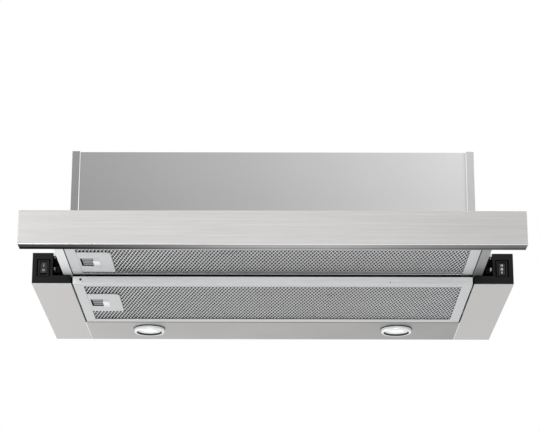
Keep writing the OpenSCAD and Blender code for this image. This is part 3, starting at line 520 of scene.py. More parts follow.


# Tints, the turn of brush lines that run from front to back, and changes of tone from left to right that
# paint light and shade
WARM = (1.0, 0.985, 0.965)
COOL = (0.975, 0.99, 1.0)
PLAIN = (0.99, 0.985, 1.0)
NEUTRAL = (1.0, 1.0, 1.0)
DEEP_LINES = (0, 0, QUARTER)
PANEL_PAINTED_SHADE = [(0.05, 0.88), (0.28, 0.99), (0.5, 1.0), (0.75, 0.95), (0.95, 0.87)]
FILTER_FRONT_PAINTED_SHADE = [(0.08, 0.84), (0.25, 0.95), (0.5, 1.0), (0.75, 0.95), (0.92, 0.84)]
FOLD_PAINTED_SHADE = [(0.04, 0.0), (0.1, 0.015), (0.155, 0.045), (0.27, 0.16), (0.385, 0.33), (0.5, 0.43),
              (0.62, 0.43), (0.75, 0.3), (0.89, 0.175), (0.97, 0.12)]
BOX_PAINTED_LIGHT = [(0.08, tinted(0.28, PLAIN)), (0.92, tinted(0.58, PLAIN))]
STRIP_PAINTED_SHADE = [(0.1, tinted(0.46, WARM)), (0.9, tinted(0.325, WARM))]

# The finish of each material slot in the frame
FINISHES = {
    # The panel's tone darkens towards both ends: painted shade
    "panel_steel": brushed_metal("brushed_panel", tinted(0.6, WARM), contrast=0.07, roughness=0.36,
                                 across=520, along=6, painted_shade=PANEL_PAINTED_SHADE),
    "body_steel": brushed_metal("painted_body", tinted(0.56, WARM), contrast=0.02, roughness=0.42,
                                across=260, along=8),
    "visor_steel": brushed_metal("visor_sheet", tinted(0.6, COOL), contrast=0.04, roughness=0.32,
                                 across=500, along=6, turn=DEEP_LINES),
    "zinc": zinc_sheet("zinc_sheet", tinted(0.5, COOL), contrast=0.12, roughness=0.42, spangle=110),
    # The motor box is dark at its left end and pale at its right end: painted light and shade
    "box_steel": painted_shading_sheet("box_sheet_painted_light", BOX_PAINTED_LIGHT),
    "slide_steel": brushed_metal("bright_slide", tinted(0.5, COOL), contrast=0.06, roughness=0.28,
                                 across=700, along=10, turn=DEEP_LINES),
    "black_plastic": moulded_plastic("cap_plastic", (0.008, 0.008, 0.009), roughness=0.5, grain=900,
                                     depth=0.25, specular=0.13),
    "switch_black": moulded_plastic("switch_plastic", (0.016, 0.016, 0.017), roughness=0.3, grain=1200,
                                    depth=0.08, specular=0.35),
    "white_plastic": moulded_plastic("white_moulding", (0.7, 0.7, 0.68), roughness=0.42, grain=700,
                                     depth=0.08),
    "chrome": chrome_plate("chrome_ring"),
    "lens": lit_lens("lit_lens"),
    "aluminium": brushed_metal("rolled_aluminium", tinted(0.61, COOL), contrast=0.04, roughness=0.4,
                               across=420, along=12, metallic=0.55),
    "wheel_plastic": moulded_plastic("wheel_plastic_grey", (0.05, 0.05, 0.055), roughness=0.45, grain=500,
                                     depth=0.15),
    "motor_dark": wound_core("varnished_core"),
    "rubber": soft_rubber("soft_black_rubber"),
}

# Finishes of single pieces
MESH_FOIL = satin_metal("mesh_foil", tinted(0.84, COOL), 0.05, roughness=0.3, speckle=260, metallic=0.8)
WOOL_PAINTED_SHADE = knitted_wool_painted_shade("knitted_wool_painted_shade")
# The panel's folded underside: dark, darkest at the left end, as painted shade
PANEL_FOLD_PAINTED_SHADE = painted_shading_sheet("panel_fold_painted_shade", FOLD_PAINTED_SHADE, metallic=0.1, roughness=0.35, specular=0.05)
# The light strip: darker than the side panels of the same steel and darker towards its right end, as painted
# shade
LIGHT_STRIP_PAINTED_SHADE = painted_shading_sheet("light_strip", STRIP_PAINTED_SHADE, metallic=0.7, roughness=0.4)
# Lit and shaded copies of the visor rails' steel: painted light on the left rail, painted shade on the right
# rail
RAIL_PAINTED_LIGHT = brushed_metal("rail_painted_light", tinted(0.84, COOL), contrast=0.03, roughness=0.32,
                            across=500, along=6, turn=DEEP_LINES, metallic=0.25)
RAIL_PAINTED_SHADE = brushed_metal("rail_painted_shade", tinted(0.235, COOL), contrast=0.04, roughness=0.3,
                          across=500, along=6, turn=DEEP_LINES, metallic=0.25)
# Shaded and lit copies of the motor box's side sheet: painted shade on the left side, painted light on the
# right
BOX_SIDE_PAINTED_SHADE = satin_metal("box_side_painted_shade", tinted(0.23, PLAIN), 0.02, roughness=0.42, speckle=600, metallic=0.4)
BOX_SIDE_PAINTED_LIGHT = satin_metal("box_side_painted_light", tinted(0.48, PLAIN), 0.02, roughness=0.42, speckle=600, metallic=0.4)
# Dark inside the latch trays: painted shade in the recess
TRAY_PAINTED_SHADE = satin_metal("tray_painted_shade", tinted(0.12, COOL), 0.1, roughness=0.4, speckle=400)
# Bright strips along folded edges and the latch lip: painted highlights
EDGE_PAINTED_HIGHLIGHT = satin_metal("painted_edge_highlight", tinted(0.86, COOL), 0.02, roughness=0.3, speckle=400)
# The lower filter's front is far paler than its aluminium, as painted light, and darker towards both ends, as
# painted shade
FILTER_FRONT_PAINTED_LIGHT = brushed_metal("filter_front_painted_light", tinted(0.98, COOL), contrast=0.05, roughness=0.4,
                             across=420, along=12, metallic=0.1, painted_shade=FILTER_FRONT_PAINTED_SHADE)
LAMP_BEAD = satin_metal("satin_bead", tinted(0.95, COOL), 0.01, roughness=0.25, speckle=500, metallic=0.3)
SLIDER_FACE = satin_metal("slider_face", tinted(0.3, COOL), 0.06, roughness=0.4, speckle=500)
# Darkened copies of white plastic: painted shade, deep on the left plunger, half on the right plunger and the
# left rocker's marks
KNOB_PAINTED_DEEP_SHADE = moulded_plastic("knob_painted_deep_shade", tinted(0.12, NEUTRAL), roughness=0.45, grain=700, depth=0.1)
WHITE_PAINTED_HALF_SHADE = moulded_plastic("white_painted_half_shade", tinted(0.36, NEUTRAL), roughness=0.45, grain=700, depth=0.1)
LENS_LINE_PAINTED_SHADE = moulded_plastic("lens_line_painted_shade", tinted(0.22, NEUTRAL), roughness=0.4, grain=700, depth=0.1)
# Near-black: the black microswitches, darker than the cap plastic to deepen the shade in the caps' mouths,
# and painted shade in the switch grooves and beside the upper filter
BLACK_AND_PAINTED_SHADE = moulded_plastic("black_and_painted_shade", tinted(0.003, NEUTRAL), roughness=0.7, grain=900, depth=0.1,
                             specular=0.1)
BEZEL_EDGE = moulded_plastic("bezel_edge", (0.012, 0.012, 0.013), roughness=0.35, grain=1200, depth=0.05,
                             specular=0.2)
# Black rubber that paints shade: the lamps' shadow rings, the dimples and the screws' cross recesses
RUBBER_PAINTED_SHADE = soft_rubber("lamp_seal")

# Nodes that have a finish of their own instead of their slot's: lit and shaded copies that paint light and
# shade, and the microswitches' near-black that deepens the shade in the caps' mouths
OWN_FINISH = {
    "light_panel": LIGHT_STRIP_PAINTED_SHADE, "visor_rail_left": RAIL_PAINTED_LIGHT, "visor_rail_right": RAIL_PAINTED_SHADE,
    "box_side_left": BOX_SIDE_PAINTED_SHADE, "box_side_right": BOX_SIDE_PAINTED_LIGHT,
    "plunger_left": KNOB_PAINTED_DEEP_SHADE, "plunger_right": WHITE_PAINTED_HALF_SHADE,
    "microswitch_left": BLACK_AND_PAINTED_SHADE, "microswitch_right": BLACK_AND_PAINTED_SHADE,
}

# A second finish, and the faces that it belongs on: painted shade on the panel's fold and the tray floors,
# painted light on the filter's front
SECOND_FINISH = {
    "front_panel": (PANEL_FOLD_PAINTED_SHADE, lambda middle, normal: normal.z < FACES_DOWN and middle.z < FOLD_TOP),
    "upper_latch_plate": (TRAY_PAINTED_SHADE, lambda middle, normal: middle.z > UPPER_TRAY_FLOOR),
    "lower_latch_plate": (TRAY_PAINTED_SHADE, lambda middle, normal: middle.z > LOWER_TRAY_FLOOR),
    "lower_filter_frame": (FILTER_FRONT_PAINTED_LIGHT, lambda middle, normal: (
        normal.y < FACES_FORWARD and middle.y < FILTER_FRONT_END)),
}


def body_of(node):
    return NODES[node]["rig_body"]


def only_verts(items):
    return [item for item in items if isinstance(item, bmesh.types.BMVert)]


def everything(shape):
    return shape.verts[:] + shape.edges[:] + shape.faces[:]


def put_in_scene(name, data):
    thing = bpy.data.objects.new(name, data)
    bpy.context.scene.collection.objects.link(thing)
    return thing


def mesh_object(name, shape, finish):
    """Makes an object from a finished shape."""
    mesh = bpy.data.meshes.new(name)
    shape.to_mesh(mesh)
    shape.free()
    mesh.materials.append(finish)
    return put_in_scene(name, mesh)


def add_piece(name, shape, body, slot, finish=None, replaced=(), smooth=True, second=None):
    """Makes a piece of the hood, in place, riding on its body."""
    piece = mesh_object(name, shape, finish or FINISHES[slot])
    if second:
        piece.data.materials.append(second)
    if smooth:
        piece.data.shade_smooth()
        piece.data.set_sharp_from_angle(angle=SOFT_ANGLE)
    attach(piece, body)
    if replaced:
        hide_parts(*replaced)
    return piece


def even_normals(piece):
    """Keeps the large flat faces flat beside their rounded edges."""
    keeper = piece.modifiers.new("even_normals", "WEIGHTED_NORMAL")
    keeper.keep_sharp = True
    keeper.weight = 100


def bevel(shape, edges, width, segments=2):
    bmesh.ops.bevel(shape, geom=edges, offset=width, offset_type="OFFSET", affect="EDGES",
                    segments=segments, profile=0.5, clamp_overlap=True, material=-1)


def merged(node):
    """A copy of a CAD node with its triangles joined and its flat faces made whole."""
    shape = bmesh.new()
    shape.from_mesh(NODES[node].data)
    bmesh.ops.remove_doubles(shape, verts=shape.verts, dist=WELD)
    if node not in KEPT_TRIANGLES:
        bmesh.ops.dissolve_limit(shape, angle_limit=FLAT_ANGLE, verts=shape.verts, edges=shape.edges)
    return shape


def is_sharp(edge, width):
    """Whether an edge is a corner between two faces that are wide enough to be rounded."""
    if len(edge.link_faces) != 2 or edge.calc_face_angle(0) < EDGE_ANGLE:
        return False
    length = edge.calc_length()
    room = min(face.calc_area() / length for face in edge.link_faces)
    return min(length, room) > EDGE_ROOM * width


def dress(node, width):
    """Stands a copy with rounded edges in for a CAD node."""
    shape = merged(node)
    edges = [edge for edge in shape.edges if is_sharp(edge, width)]
    if edges:
        bevel(shape, edges, width)
    second, belongs = SECOND_FINISH.get(node, (None, None))
    if second:
        for face in shape.faces:
            face.material_index = int(belongs(face.calc_center_median(), face.normal))
    finish = OWN_FINISH.get(node)
    piece = add_piece(node + "_finished", shape, body_of(node), SLOTS[node], finish, [node], second=second)
    even_normals(piece)


def dress_nodes():
    """Dresses the nodes that show, and gives the others the finish of their slot."""
    for node, width in EDGE_WIDTHS.items():
        dress(node, width * MM)
    for node in sorted(set(NODES) - set(EDGE_WIDTHS) - {"case_screws"}):
        for place in NODES[node].material_slots:
            place.material = FINISHES[SLOTS[node]]


def join(shape, part):
    """Moves everything in a part into a shape."""
    mesh = bpy.data.meshes.new("part")
    part.to_mesh(mesh)
    part.free()
    shape.from_mesh(mesh)
    bpy.data.meshes.remove(mesh)


def block(shape, low, high):
    """A box between two corners, added to a shape."""
    low, high = Vector(low), Vector(high)
    verts = bmesh.ops.create_cube(shape, size=1)["verts"]
    bmesh.ops.scale(shape, vec=high - low, verts=verts)
    bmesh.ops.translate(shape, vec=(low + high) / 2, verts=verts)


def strip(shape, low, high, section, segments=2):
    """A box with rounded edges, added to a shape. Its section says how far it lies from two points."""
    low_shift, high_shift, rounding = section
    part = bmesh.new()
    block(part, [place + shift * MM for place, shift in zip(low, low_shift)],
          [place + shift * MM for place, shift in zip(high, high_shift)])
    bevel(part, part.edges, rounding * MM, segments)
    join(shape, part)


def stood_along(axis, place):
    """Turns the Z axis to another axis and moves it to a place."""
    turn = Vector((0, 0, 1)).rotation_difference(Vector(axis)).to_matrix().to_4x4()
    return Matrix.Translation(place) @ turn


def lathe(shape, outline, centre, axis=(0, 0, 1), steps=LAMP_STEPS):
    """Spins a closed outline of (radius, height) points round an axis through a centre."""
    part = bmesh.new()
    verts = [part.verts.new((r, 0, z)) for r, z in outline]
    edges = [part.edges.new((verts[i - 1], verts[i])) for i in range(len(verts))]
    bmesh.ops.spin(part, geom=verts + edges, cent=(0, 0, 0), axis=(0, 0, 1), dvec=(0, 0, 0),
                   angle=2 * math.pi, steps=steps, use_merge=True)
    bmesh.ops.remove_doubles(part, verts=part.verts, dist=WELD)
    bmesh.ops.recalc_face_normals(part, faces=part.faces)
    part.transform(stood_along(axis, centre))
    join(shape, part)


def cut_out(sheet, pocket):
    """Deletes the faces of a level sheet that lie between two corners."""
    low, high = pocket
    hidden = []
    for face in sheet.faces:
        middle = face.calc_center_median()
        if low[0] < middle.x < high[0] and low[1] < middle.y < high[1]:
            hidden.append(face)
    bmesh.ops.delete(sheet, geom=hidden, context="FACES")


def repeat(sheet, count, place):
    """Repeats all that is in a sheet, each copy moved to its own place."""
    first = everything(sheet)
    for i in range(1, count):
        made = bmesh.ops.duplicate(sheet, geom=first)["geom"]
        bmesh.ops.translate(sheet, verts=only_verts(made), vec=place(i))


def diamond_sheet(low, high, height, pocket):
    """Expanded metal between two corners: one slanted diamond ring, repeated in staggered rows."""
    sheet = bmesh.new()
    wide, deep = MESH_PITCH[0] / 2, MESH_PITCH[1] / 2
    tips = [sheet.verts.new((x, y, 0)) for x, y in ((wide, 0), (0, deep), (-wide, 0), (0, -deep))]
    opening = sheet.faces.new(tips)
    opening.normal_update()
    bmesh.ops.inset_individual(sheet, faces=[opening], thickness=STRAND_W / 2, use_even_offset=True)
    for vert in opening.verts:
        vert.co.z = STRAND_TILT * (vert.co.x > WELD) - STRAND_TILT * (vert.co.x < -WELD)
    bmesh.ops.delete(sheet, geom=[opening], context="FACES_ONLY")
    columns = int((high.x - low.x) / MESH_PITCH[0])
    rows = int((high.y - low.y) / deep)
    repeat(sheet, columns, lambda i: Vector((i * MESH_PITCH[0], 0, 0)))
    repeat(sheet, rows, lambda j: Vector((wide * (j % 2), j * deep, 0)))
    bmesh.ops.translate(sheet, verts=sheet.verts, vec=(low.x + wide, low.y + deep, height))
    cut_out(sheet, pocket)
    bmesh.ops.remove_doubles(sheet, verts=sheet.verts, dist=WELD)
    bmesh.ops.bisect_plane(sheet, geom=everything(sheet), plane_co=(0, high.y, 0), plane_no=(0, 1, 0),
                           clear_outer=True)
    bmesh.ops.solidify(sheet, geom=sheet.faces, thickness=STRAND_T)
    return sheet


def wool_slab(low, high, pocket):
    """Lumpy slab of knitted aluminium, cut out round the latch tray."""
    slab = bmesh.new()
    across, deep = high.x - low.x, high.y - low.y
    columns, rows = int(across / WOOL_STEP), int(deep / WOOL_STEP)
    bmesh.ops.create_grid(slab, x_segments=columns, y_segments=rows, size=0.5)
    bmesh.ops.scale(slab, verts=slab.verts, vec=(across, deep, 1))
    bmesh.ops.translate(slab, verts=slab.verts, vec=((low.x + high.x) / 2, (low.y + high.y) / 2, low.z))
    cut_out(slab, pocket)
    for vert in slab.verts:
        vert.co.z += WOOL_RISE * (1 + noise.noise(vert.co * WOOL_WAVES))
    top = bmesh.ops.extrude_face_region(slab, geom=slab.faces[:])["geom"]
    for vert in only_verts(top):
        vert.co.z = high.z
    bmesh.ops.recalc_face_normals(slab, faces=slab.faces)
    return slab


def latch_tray(name):
    """The corners, seen from below, that the tray of a filter's latch takes up."""
    latch = name.replace("filter", "latch")
    low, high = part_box(latch)
    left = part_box(latch + "_plate")[0].x
    middle = (low.y + high.y) / 2
    return (left + TRAY_START, middle - TRAY_HALF), (left + TRAY_END, middle + TRAY_HALF)


def make_filter(name):
    """The mesh and the wool of one cassette."""
    side, front, rear = FILTER_RAILS[name]
    frame_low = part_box(name + "_frame")[0]
    mesh_low, mesh_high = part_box(name + "_mesh")
    pad_low, pad_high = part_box(name + "_pad")
    half = (mesh_high.x - mesh_low.x) / 2
    low = Vector((side - MESH_LAP - half, frame_low.y + front - MESH_LAP, 0))
    high = Vector((half - side + MESH_LAP, mesh_high.y - max(rear - MESH_LAP, 0), 0))
    height = mesh_low.z + STRAND_TILT + STRAND_T
    tray = latch_tray(name)
    body = body_of(name + "_frame")
    sheet = diamond_sheet(low, high, height, tray)
    add_piece(name + "_diamond_mesh", sheet, body, "aluminium", MESH_FOIL, [name + "_mesh"], smooth=False)
    slab = wool_slab(Vector((pad_low.x, pad_low.y, height + WOOL_DEPTH)), pad_high, tray)
    add_piece(name + "_wool", slab, body, "aluminium", WOOL_PAINTED_SHADE, [name + "_pad"])


def make_latch(part):
    """The ribbed slider in its window, with the lip beside it, and the pressed lines of the latch plate."""
    plate, latch = part + "_latch_plate", part + "_latch"
    plate_low, plate_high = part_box(plate)
    low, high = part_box(latch)
    body, slot = body_of(latch), SLOTS[latch]
    under = plate_low.z
    left = high.x - SLIDER_W
    window_right = high.x + SLIDER_TRAVEL + WINDOW_PLAY
    middle = (low.y + high.y) / 2
    lip_start = low.y + LIP_START * SLIDER_L

    pad = bmesh.new()
    strip(pad, (left, low.y, under), (high.x, high.y, low.z), SLIDER_PAD)
    for rib in RIBS:
        y = middle + rib * SLIDER_L / len(RIBS)
        strip(pad, (left, y, under), (high.x, y, under), SLIDER_RIB, segments=3)
    add_piece(part + "_slider_pad", pad, body, slot, SLIDER_FACE)

    lip = bmesh.new()
    # The lip is drawn in painted highlight
    strip(lip, (high.x, lip_start, under), (window_right, high.y, under), SLIDER_LIP)
    add_piece(part + "_slider_lip", lip, body, slot, EDGE_PAINTED_HIGHLIGHT)

    lines = bmesh.new()
    strip(lines, (high.x, low.y, under), (window_right, lip_start, under), WINDOW_LINE)
    for share in PRESSED_LINES:
        y = plate_low.y + share * (plate_high.y - plate_low.y)
        strip(lines, (plate_low.x, y, under), (plate_high.x, y, under), PRESSED_LINE)
    add_piece(part + "_latch_lines", lines, body_of(plate), SLOTS[plate])


def make_lamp(side):
    """A rolled ring with dark seals outside and inside it, which paint the shadow lines at its edges, round a
    lens that is set back.
    """
    low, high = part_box("lamp_ring_" + side)
    lens_low, lens_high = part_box("lamp_lens_" + side)
    centre = (low + high) / 2
    ring_r, lens_r = (high.x - low.x) / 2, (lens_high.x - lens_low.x) / 2
    top = lens_high.z
    depth = top - low.z
    place = (centre.x, centre.y, top)
    body = body_of("lamp_ring_" + side)
    bore, seat_r, crown = lens_r + LENS_PLAY, lens_r + SEAT_W, ring_r - BEAD_ROLL

    ring = bmesh.new()
    outline = [(bore, BEAD_LAP), (bore, SEAT_TOP * depth), (seat_r, SEAT_TOP * depth),
               (seat_r, SEAT_EDGE * depth), (crown - CROWN_FLAT, CROWN_EDGE * depth)]
    for i in range(BEAD_POINTS):
        angle = QUARTER * (1 - i / (BEAD_POINTS - 1))
        height = BEAD_SIDE + (1 - BEAD_SIDE) * math.sin(angle)
        outline.append((crown + BEAD_ROLL * math.cos(angle), -depth * height))
    outline.append((ring_r, BEAD_LAP))
    lathe(ring, outline, place)
    neck_r = ring_r - NECK_SET_IN
    lathe(ring, [(bore, 0), (neck_r, 0), (neck_r, NECK_H), (bore, NECK_H)], place)
    add_piece("lamp_bead_" + side, ring, body, "chrome", LAMP_BEAD, ["lamp_ring_" + side])

    # Dark rubber rings outside and inside the bead: painted shadow lines
    seal = bmesh.new()
    lathe(seal, [(ring_r + r * MM, z * MM) for r, z in OUTER_SEAL], place)
    seal_r = seat_r + SEAL_LAP
    lathe(seal, [(lens_r, SEAT_TOP * depth), (lens_r, SEAL_LOW_INSIDE * depth),
                 (seal_r, SEAL_LOW_OUTSIDE * depth), (seal_r, SEAT_TOP * depth)], place)
    add_piece("lamp_seal_" + side, seal, body, "rubber", RUBBER_PAINTED_SHADE)

    # A grey ring on the lens paints the shade of its pressed line
    line = bmesh.new()
    line_r, face = LENS_RING_SHARE * lens_r, lens_low.z - top
    height = face * (1 - LENS_RING_SHARE ** 2 / 2)
    lathe(line, [(line_r + r * MM, height + z * MM) for r, z in LENS_RING], place)
    add_piece("lens_line_" + side, line, body_of("lamp_lens_" + side), "lens", LENS_LINE_PAINTED_SHADE)


def make_dimples():
    """Rivet and punched hole in the front of the lower filter, as black discs of painted shade."""
    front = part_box("lower_filter_frame")[0].y
    for name, (x, z, radius) in DIMPLES.items():
        shape = bmesh.new()
        outline = [(share * radius * MM, height * MM) for share, height in DIMPLE_SECTION]
        lathe(shape, outline, (x * MM, front, z * MM), (0, 1, 0), SMALL_STEPS)
        add_piece(name, shape, body_of("lower_filter_frame"), "rubber", RUBBER_PAINTED_SHADE)


def islands(shape):
    """The separate solids in a shape, each as a list of its vertices."""
    left, found = set(shape.verts), []
    while left:
        reached, waiting = [], [left.pop()]
        while waiting:
            vert = waiting.pop()
            reached.append(vert)
            for edge in vert.link_edges:
                other = edge.other_vert(vert)
                if other in left:
                    left.remove(other)
                    waiting.append(other)
        found.append(reached)
    return found


def make_screws():
    """Pan-head screws with a cross recess, at the places of the case screws. The recess is a black cross of
    painted shade.
    """
    model = merged("case_screws")
    heads, crosses = bmesh.new(), bmesh.new()
    for verts in islands(model):
        low = Vector([min(vert.co[i] for vert in verts) for i in range(3)])
        high = Vector([max(vert.co[i] for vert in verts) for i in range(3)])
        upright = low.z > ROOF_SCREWS
        facing = Vector((0, 0, 1)) if upright else Vector((0, 1, 0))
        axis = 2 if upright else 1
        radius = (high.x - low.x) / 2
        tip = (low + high) / 2
        tip[axis] = high[axis]
        length = (high - low).dot(facing)
        outline = [(r * radius, z * radius) for r, z in PAN_HEAD]
        outline += [(SHANK_R * radius, -length), (0, -length)]
        lathe(heads, outline, tip, facing, SMALL_STEPS)
        cross = bmesh.new()
        for x, y in RECESS_ARMS:
            block(cross, (-x * radius, -y * radius, RECESS_FLOOR * radius),
                  (x * radius, y * radius, RECESS_FACE * radius + RECESS_PROUD))
        cross.transform(stood_along(facing, tip))
        join(crosses, cross)
    model.free()
    body, slot = body_of("case_screws"), SLOTS["case_screws"]
    add_piece("case_screw_heads", heads, body, slot, replaced=["case_screws"])
    add_piece("case_screw_recesses", crosses, body, slot, RUBBER_PAINTED_SHADE, smooth=False)


def make_painted_highlights():
    """Painted highlights along folded edges: side panels beside the light strip, flanges of the motor box,
    the panel's front edge. The panel's hem gets the fold's painted shade.
    """
    low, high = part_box("light_panel")
    shape = bmesh.new()
    for x in (low.x, high.x):
        strip(shape, (x, low.y, low.z), (x, high.y, low.z), BODY_FOLD)
    add_piece("body_fold_highlights", shape, body_of("light_panel"), "body_steel", EDGE_PAINTED_HIGHLIGHT)
    low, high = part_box("box_side_right")
    shape = bmesh.new()
    for x in (-low.x, low.x):
        strip(shape, (x, low.y, low.z), (x, low.y, high.z), BOX_FOLD)
    add_piece("box_fold_highlights", shape, body_of("box_side_right"), "box_steel", EDGE_PAINTED_HIGHLIGHT)
    low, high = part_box("front_panel")
    body = body_of("front_panel")
    shape = bmesh.new()
    strip(shape, low, (high.x, low.y, low.z), PANEL_EDGE)
    add_piece("panel_edge_highlight", shape, body, "panel_steel", EDGE_PAINTED_HIGHLIGHT)
    # The hem under the panel gets the fold's painted shade
    hem = bmesh.new()
    strip(hem, (low.x, high.y, low.z), (high.x, high.y, low.z), PANEL_HEM)
    add_piece("panel_hem", hem, body, "panel_steel", PANEL_FOLD_PAINTED_SHADE)


def make_painted_gap_shade():
    """Painted shade in the joints beside the upper filter and before the light strip: black strips and a dark
    grey lip.
    """
    low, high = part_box("upper_filter_frame")
    rail_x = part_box("visor_rail_right")[0].x
    shape = bmesh.new()
    strip(shape, (-rail_x, low.y, low.z), (low.x, high.y, low.z), LEFT_GAP)
    strip(shape, (rail_x, low.y, low.z), (rail_x, high.y, low.z), RIGHT_GAP)
    add_piece("visor_gap_painted_shade", shape, body_of("visor_rail_right"), "visor_steel", BLACK_AND_PAINTED_SHADE)
    low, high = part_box("light_panel")
    shape = bmesh.new()
    # The lip is a dark grey strip of painted shade at the light strip's front fold
    strip(shape, low, (high.x, low.y, low.z), STRIP_LIP)
    add_piece("light_strip_lip_painted_shade", shape, body_of("light_panel"), "body_steel", SLIDER_FACE)


def rect_ring(shape, low, high, section):
    """A rounded rectangular rim round a hole, upright, inside the box of a switch."""
    rim_less, hole_less, (start, end), rounding = section
    wide, tall = high.x - low.x, high.z - low.z
    size = (wide - rim_less[0] * MM, tall - rim_less[1] * MM)
    hole = (wide - hole_less[0] * MM, tall - hole_less[1] * MM)
    front, back = low.y + start * MM, low.y + end * MM
    rim = bmesh.new()
    bmesh.ops.create_grid(rim, x_segments=1, y_segments=1, size=0.5)
    opening = rim.faces[:][0]
    bmesh.ops.inset_individual(rim, faces=[opening], thickness=0.1, use_even_offset=True)
    for vert in rim.verts:
        across, upwards = hole if vert in opening.verts else size
        vert.co = (math.copysign(across / 2, vert.co.x), math.copysign(upwards / 2, vert.co.y), 0)
    bmesh.ops.delete(rim, geom=[opening], context="FACES_ONLY")
    grown = bmesh.ops.extrude_face_region(rim, geom=rim.faces[:])["geom"]
    bmesh.ops.translate(rim, verts=only_verts(grown), vec=(0, 0, back - front))
    bmesh.ops.recalc_face_normals(rim, faces=rim.faces)
    bevel(rim, [edge for edge in rim.edges if edge.calc_face_angle(0) > EDGE_ANGLE], rounding * MM)
    place = ((low.x + high.x) / 2, front, (low.z + high.z) / 2)
    rim.transform(Matrix.Translation(place) @ Matrix.Rotation(-QUARTER, 4, "X"))
    join(shape, rim)


def make_switch_frame(side, spades):
    """The stepped bezel of a switch, its housing and its spade terminals."""
    name = "switch_body_" + side
    low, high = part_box(name)
    body = body_of(name)
    housing = bmesh.new()
    rect_ring(housing, low, high, BEZEL_RIM)
    rect_ring(housing, low, high, BEZEL_STEP)
    strip(housing, low, (high.x, low.y, high.z), SWITCH_HOUSING)
    even_normals(add_piece("switch_frame_" + side, housing, body, "switch_black", BEZEL_EDGE, [name]))
    # The black groove ring paints the shade between the bezel and the cap
    groove = bmesh.new()
    rect_ring(groove, low, high, BEZEL_GROOVE)
    add_piece("switch_groove_" + side, groove, body, "switch_black", BLACK_AND_PAINTED_SHADE)
    tabs = bmesh.new()
    x = (low.x + high.x) / 2
    for i in range(spades):
        z = (low.z + high.z) / 2 + (i - (spades - 1) / 2) * SPADE_PITCH
        strip(tabs, (x, low.y, z), (x, high.y, z), SPADE)
    add_piece("switch_spades_" + side, tabs, body, "slide_steel")


def rocker_key(centre, tilt):
    """The dished key of a switch, with rounded edges."""
    outline = [(-ROCKER_FRONT, ROCKER_REACH), (ROCKER_DIP - ROCKER_FRONT, 0), (-ROCKER_FRONT, -ROCKER_REACH),
               (-ROCKER_BACK, -ROCKER_REACH), (ROCKER_BACK, -ROCKER_HEEL), (ROCKER_BACK, ROCKER_HEEL),
               (-ROCKER_BACK, ROCKER_REACH)]
    key = bmesh.new()
    side = key.faces.new([key.verts.new((-ROCKER_W / 2, y, z)) for y, z in outline])
    grown = bmesh.ops.extrude_face_region(key, geom=[side])["geom"]
    bmesh.ops.translate(key, verts=only_verts(grown), vec=(ROCKER_W, 0, 0))
    bmesh.ops.recalc_face_normals(key, faces=key.faces)
    bevel(key, key.edges, ROCKER_ROUNDING, segments=3)
    key.transform(Matrix.Translation(centre) @ Matrix.Rotation(tilt, 4, "X"))
    return key


def bar_mark(shape, x, z, length):
    low = (x - MARK_W / 2, -MARK_T, z - length / 2)
    block(shape, low, (x + MARK_W / 2, MARK_SINK, z + length / 2))


def ring_mark(shape, z):
    """The mark O, at a height above the middle of the rocker."""
    before = set(shape.verts)
    hole_r = ZERO_R - MARK_W
    outline = [(hole_r, -MARK_T), (ZERO_R, -MARK_T), (ZERO_R, MARK_SINK), (hole_r, MARK_SINK)]
    lathe(shape, outline, (0, 0, 0), steps=SMALL_STEPS)
    for vert in shape.verts:
        if vert not in before:
            vert.co = Vector((vert.co.x, vert.co.z, vert.co.y + z))


def lay_on_rocker(shape, centre, tilt):
    """Lays flat marks, drawn in X and Z with their thickness along Y, on a rocker's dished face."""
    for vert in shape.verts:
        x, lift, z = vert.co
        y = ROCKER_DIP * (1 - abs(z) / ROCKER_REACH) - ROCKER_FRONT + lift
        turned = (x, y * math.cos(tilt) - z * math.sin(tilt), y * math.sin(tilt) + z * math.cos(tilt))
        vert.co = centre + Vector(turned)


def make_rocker(side, tilt, marks, paint):
    """One rocker with its painted marks."""
    low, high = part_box("switch_body_" + side)
    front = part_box("end_cap_" + side)[0].y
    centre = Vector(((low.x + high.x) / 2, front + ROCKER_PIVOT, (low.z + high.z) / 2))
    name = "rocker_" + side
    body = body_of(name)
    key = rocker_key(centre, tilt)
    even_normals(add_piece("rocker_key_" + side, key, body, "switch_black", replaced=[name]))
    shape = bmesh.new()
    for kind, z, length in marks:
        if kind == "zero":
            ring_mark(shape, z)
        else:
            for x in BAR_PLACES[kind]:
                bar_mark(shape, x, z, length)
    lay_on_rocker(shape, centre, tilt)
    bmesh.ops.recalc_face_normals(shape, faces=shape.faces)
    add_piece("rocker_marks_" + side, shape, body, "white_plastic", paint, smooth=False)


def floor_finish():
    """Pale matt floor that metal sees as the white background, and that keeps its shadow."""
    floor = Finish(bpy.data.materials.new("floor"))
    gloss = floor.node("LightPath", {}, {}, out="Is Glossy Ray")
    paint = floor.node("BsdfDiffuse", {}, {"Color": colour(FLOOR_GREY)})
    white = floor.node("Emission", {}, {"Color": colour(1.0), "Strength": WHITE})
    both = floor.node("MixShader", {}, {0: gloss, 1: paint, 2: white})
    floor.node("OutputMaterial", {}, {"Surface": both})
    return floor.owner


def make_stage():
    """Pale floor far below the hood."""
    shape = bmesh.new()
    bmesh.ops.create_grid(shape, x_segments=1, y_segments=1, size=FLOOR_SIZE)
    bmesh.ops.translate(shape, verts=shape.verts, vec=(0, 0, FLOOR_HEIGHT))
    mesh_object("floor", shape, floor_finish())


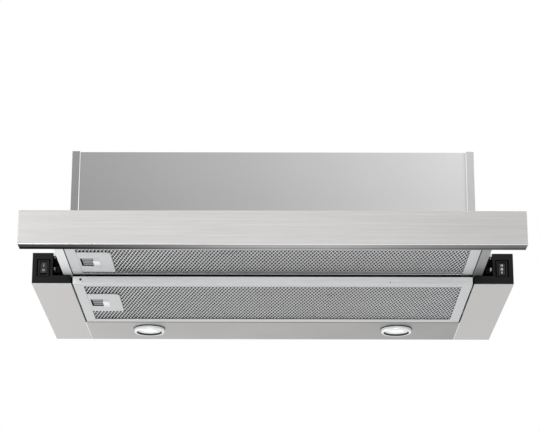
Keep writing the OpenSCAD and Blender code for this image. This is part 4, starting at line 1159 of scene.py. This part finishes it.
def make_world():
    """White surroundings for the camera and for gloss, softer as light on the object."""
    world = bpy.data.worlds.new("studio")
    bpy.context.scene.world = world
    sky = Finish(world)
    seen = sky.node("LightPath", {}, {}, out="Is Camera Ray")
    gloss = sky.node("LightPath", {}, {}, out="Is Glossy Ray")
    through = sky.node("LightPath", {}, {}, out="Is Transmission Ray")
    straight = (seen + gloss + through) > 0.5
    strength = straight * (WHITE - SOFT_WORLD) + SOFT_WORLD
    light = sky.node("Background", {}, {"Color": colour(1.0), "Strength": strength})
    sky.node("OutputWorld", {}, {"Surface": light})


def make_lamps():
    """Soft lamps: one for the panel, one below the hood, one before the filters and one for the motor box."""
    for name, (place, aim, size, watts) in STUDIO_LAMPS.items():
        light = bpy.data.lights.new(name, "AREA")
        light.shape = "RECTANGLE"
        light.size, light.size_y = size
        light.energy = watts
        lamp = put_in_scene(name, light)
        lamp.location = place
        lamp.rotation_euler = (Vector(aim) - Vector(place)).to_track_quat("-Z", "Y").to_euler()


def make_camera():
    """The photograph's own camera, worked out from the hood's corners."""
    data = bpy.data.cameras.new("camera")
    data.sensor_width = SENSOR_WIDTH
    data.lens = FOCAL_PIXELS * SENSOR_WIDTH / PHOTO_WIDTH
    camera = put_in_scene("camera", data)
    turn = Matrix.Rotation(-CAMERA_YAW, 4, "Z") @ Matrix.Rotation(QUARTER + CAMERA_PITCH, 4, "X")
    camera.matrix_world = Matrix.Translation(CAMERA_PLACE) @ turn @ Matrix.Rotation(CAMERA_ROLL, 4, "Z")
    bpy.context.scene.camera = camera


bpy.context.scene.view_settings.view_transform = "Standard"
make_camera()
make_world()
make_stage()
make_lamps()
dress_nodes()
for cassette in FILTER_RAILS:
    make_filter(cassette)
make_latch("lower")
make_latch("upper")
make_lamp("left")
make_lamp("right")
make_dimples()
make_screws()
make_painted_highlights()
make_painted_gap_shade()
make_switch_frame("left", spades=2)
make_switch_frame("right", spades=3)
# The left rocker's marks are the white print darkened by painted shade
make_rocker("left", ROCKER_TILT, LEFT_MARKS, WHITE_PAINTED_HALF_SHADE)
make_rocker("right", 0, RIGHT_MARKS, FINISHES["white_plastic"])
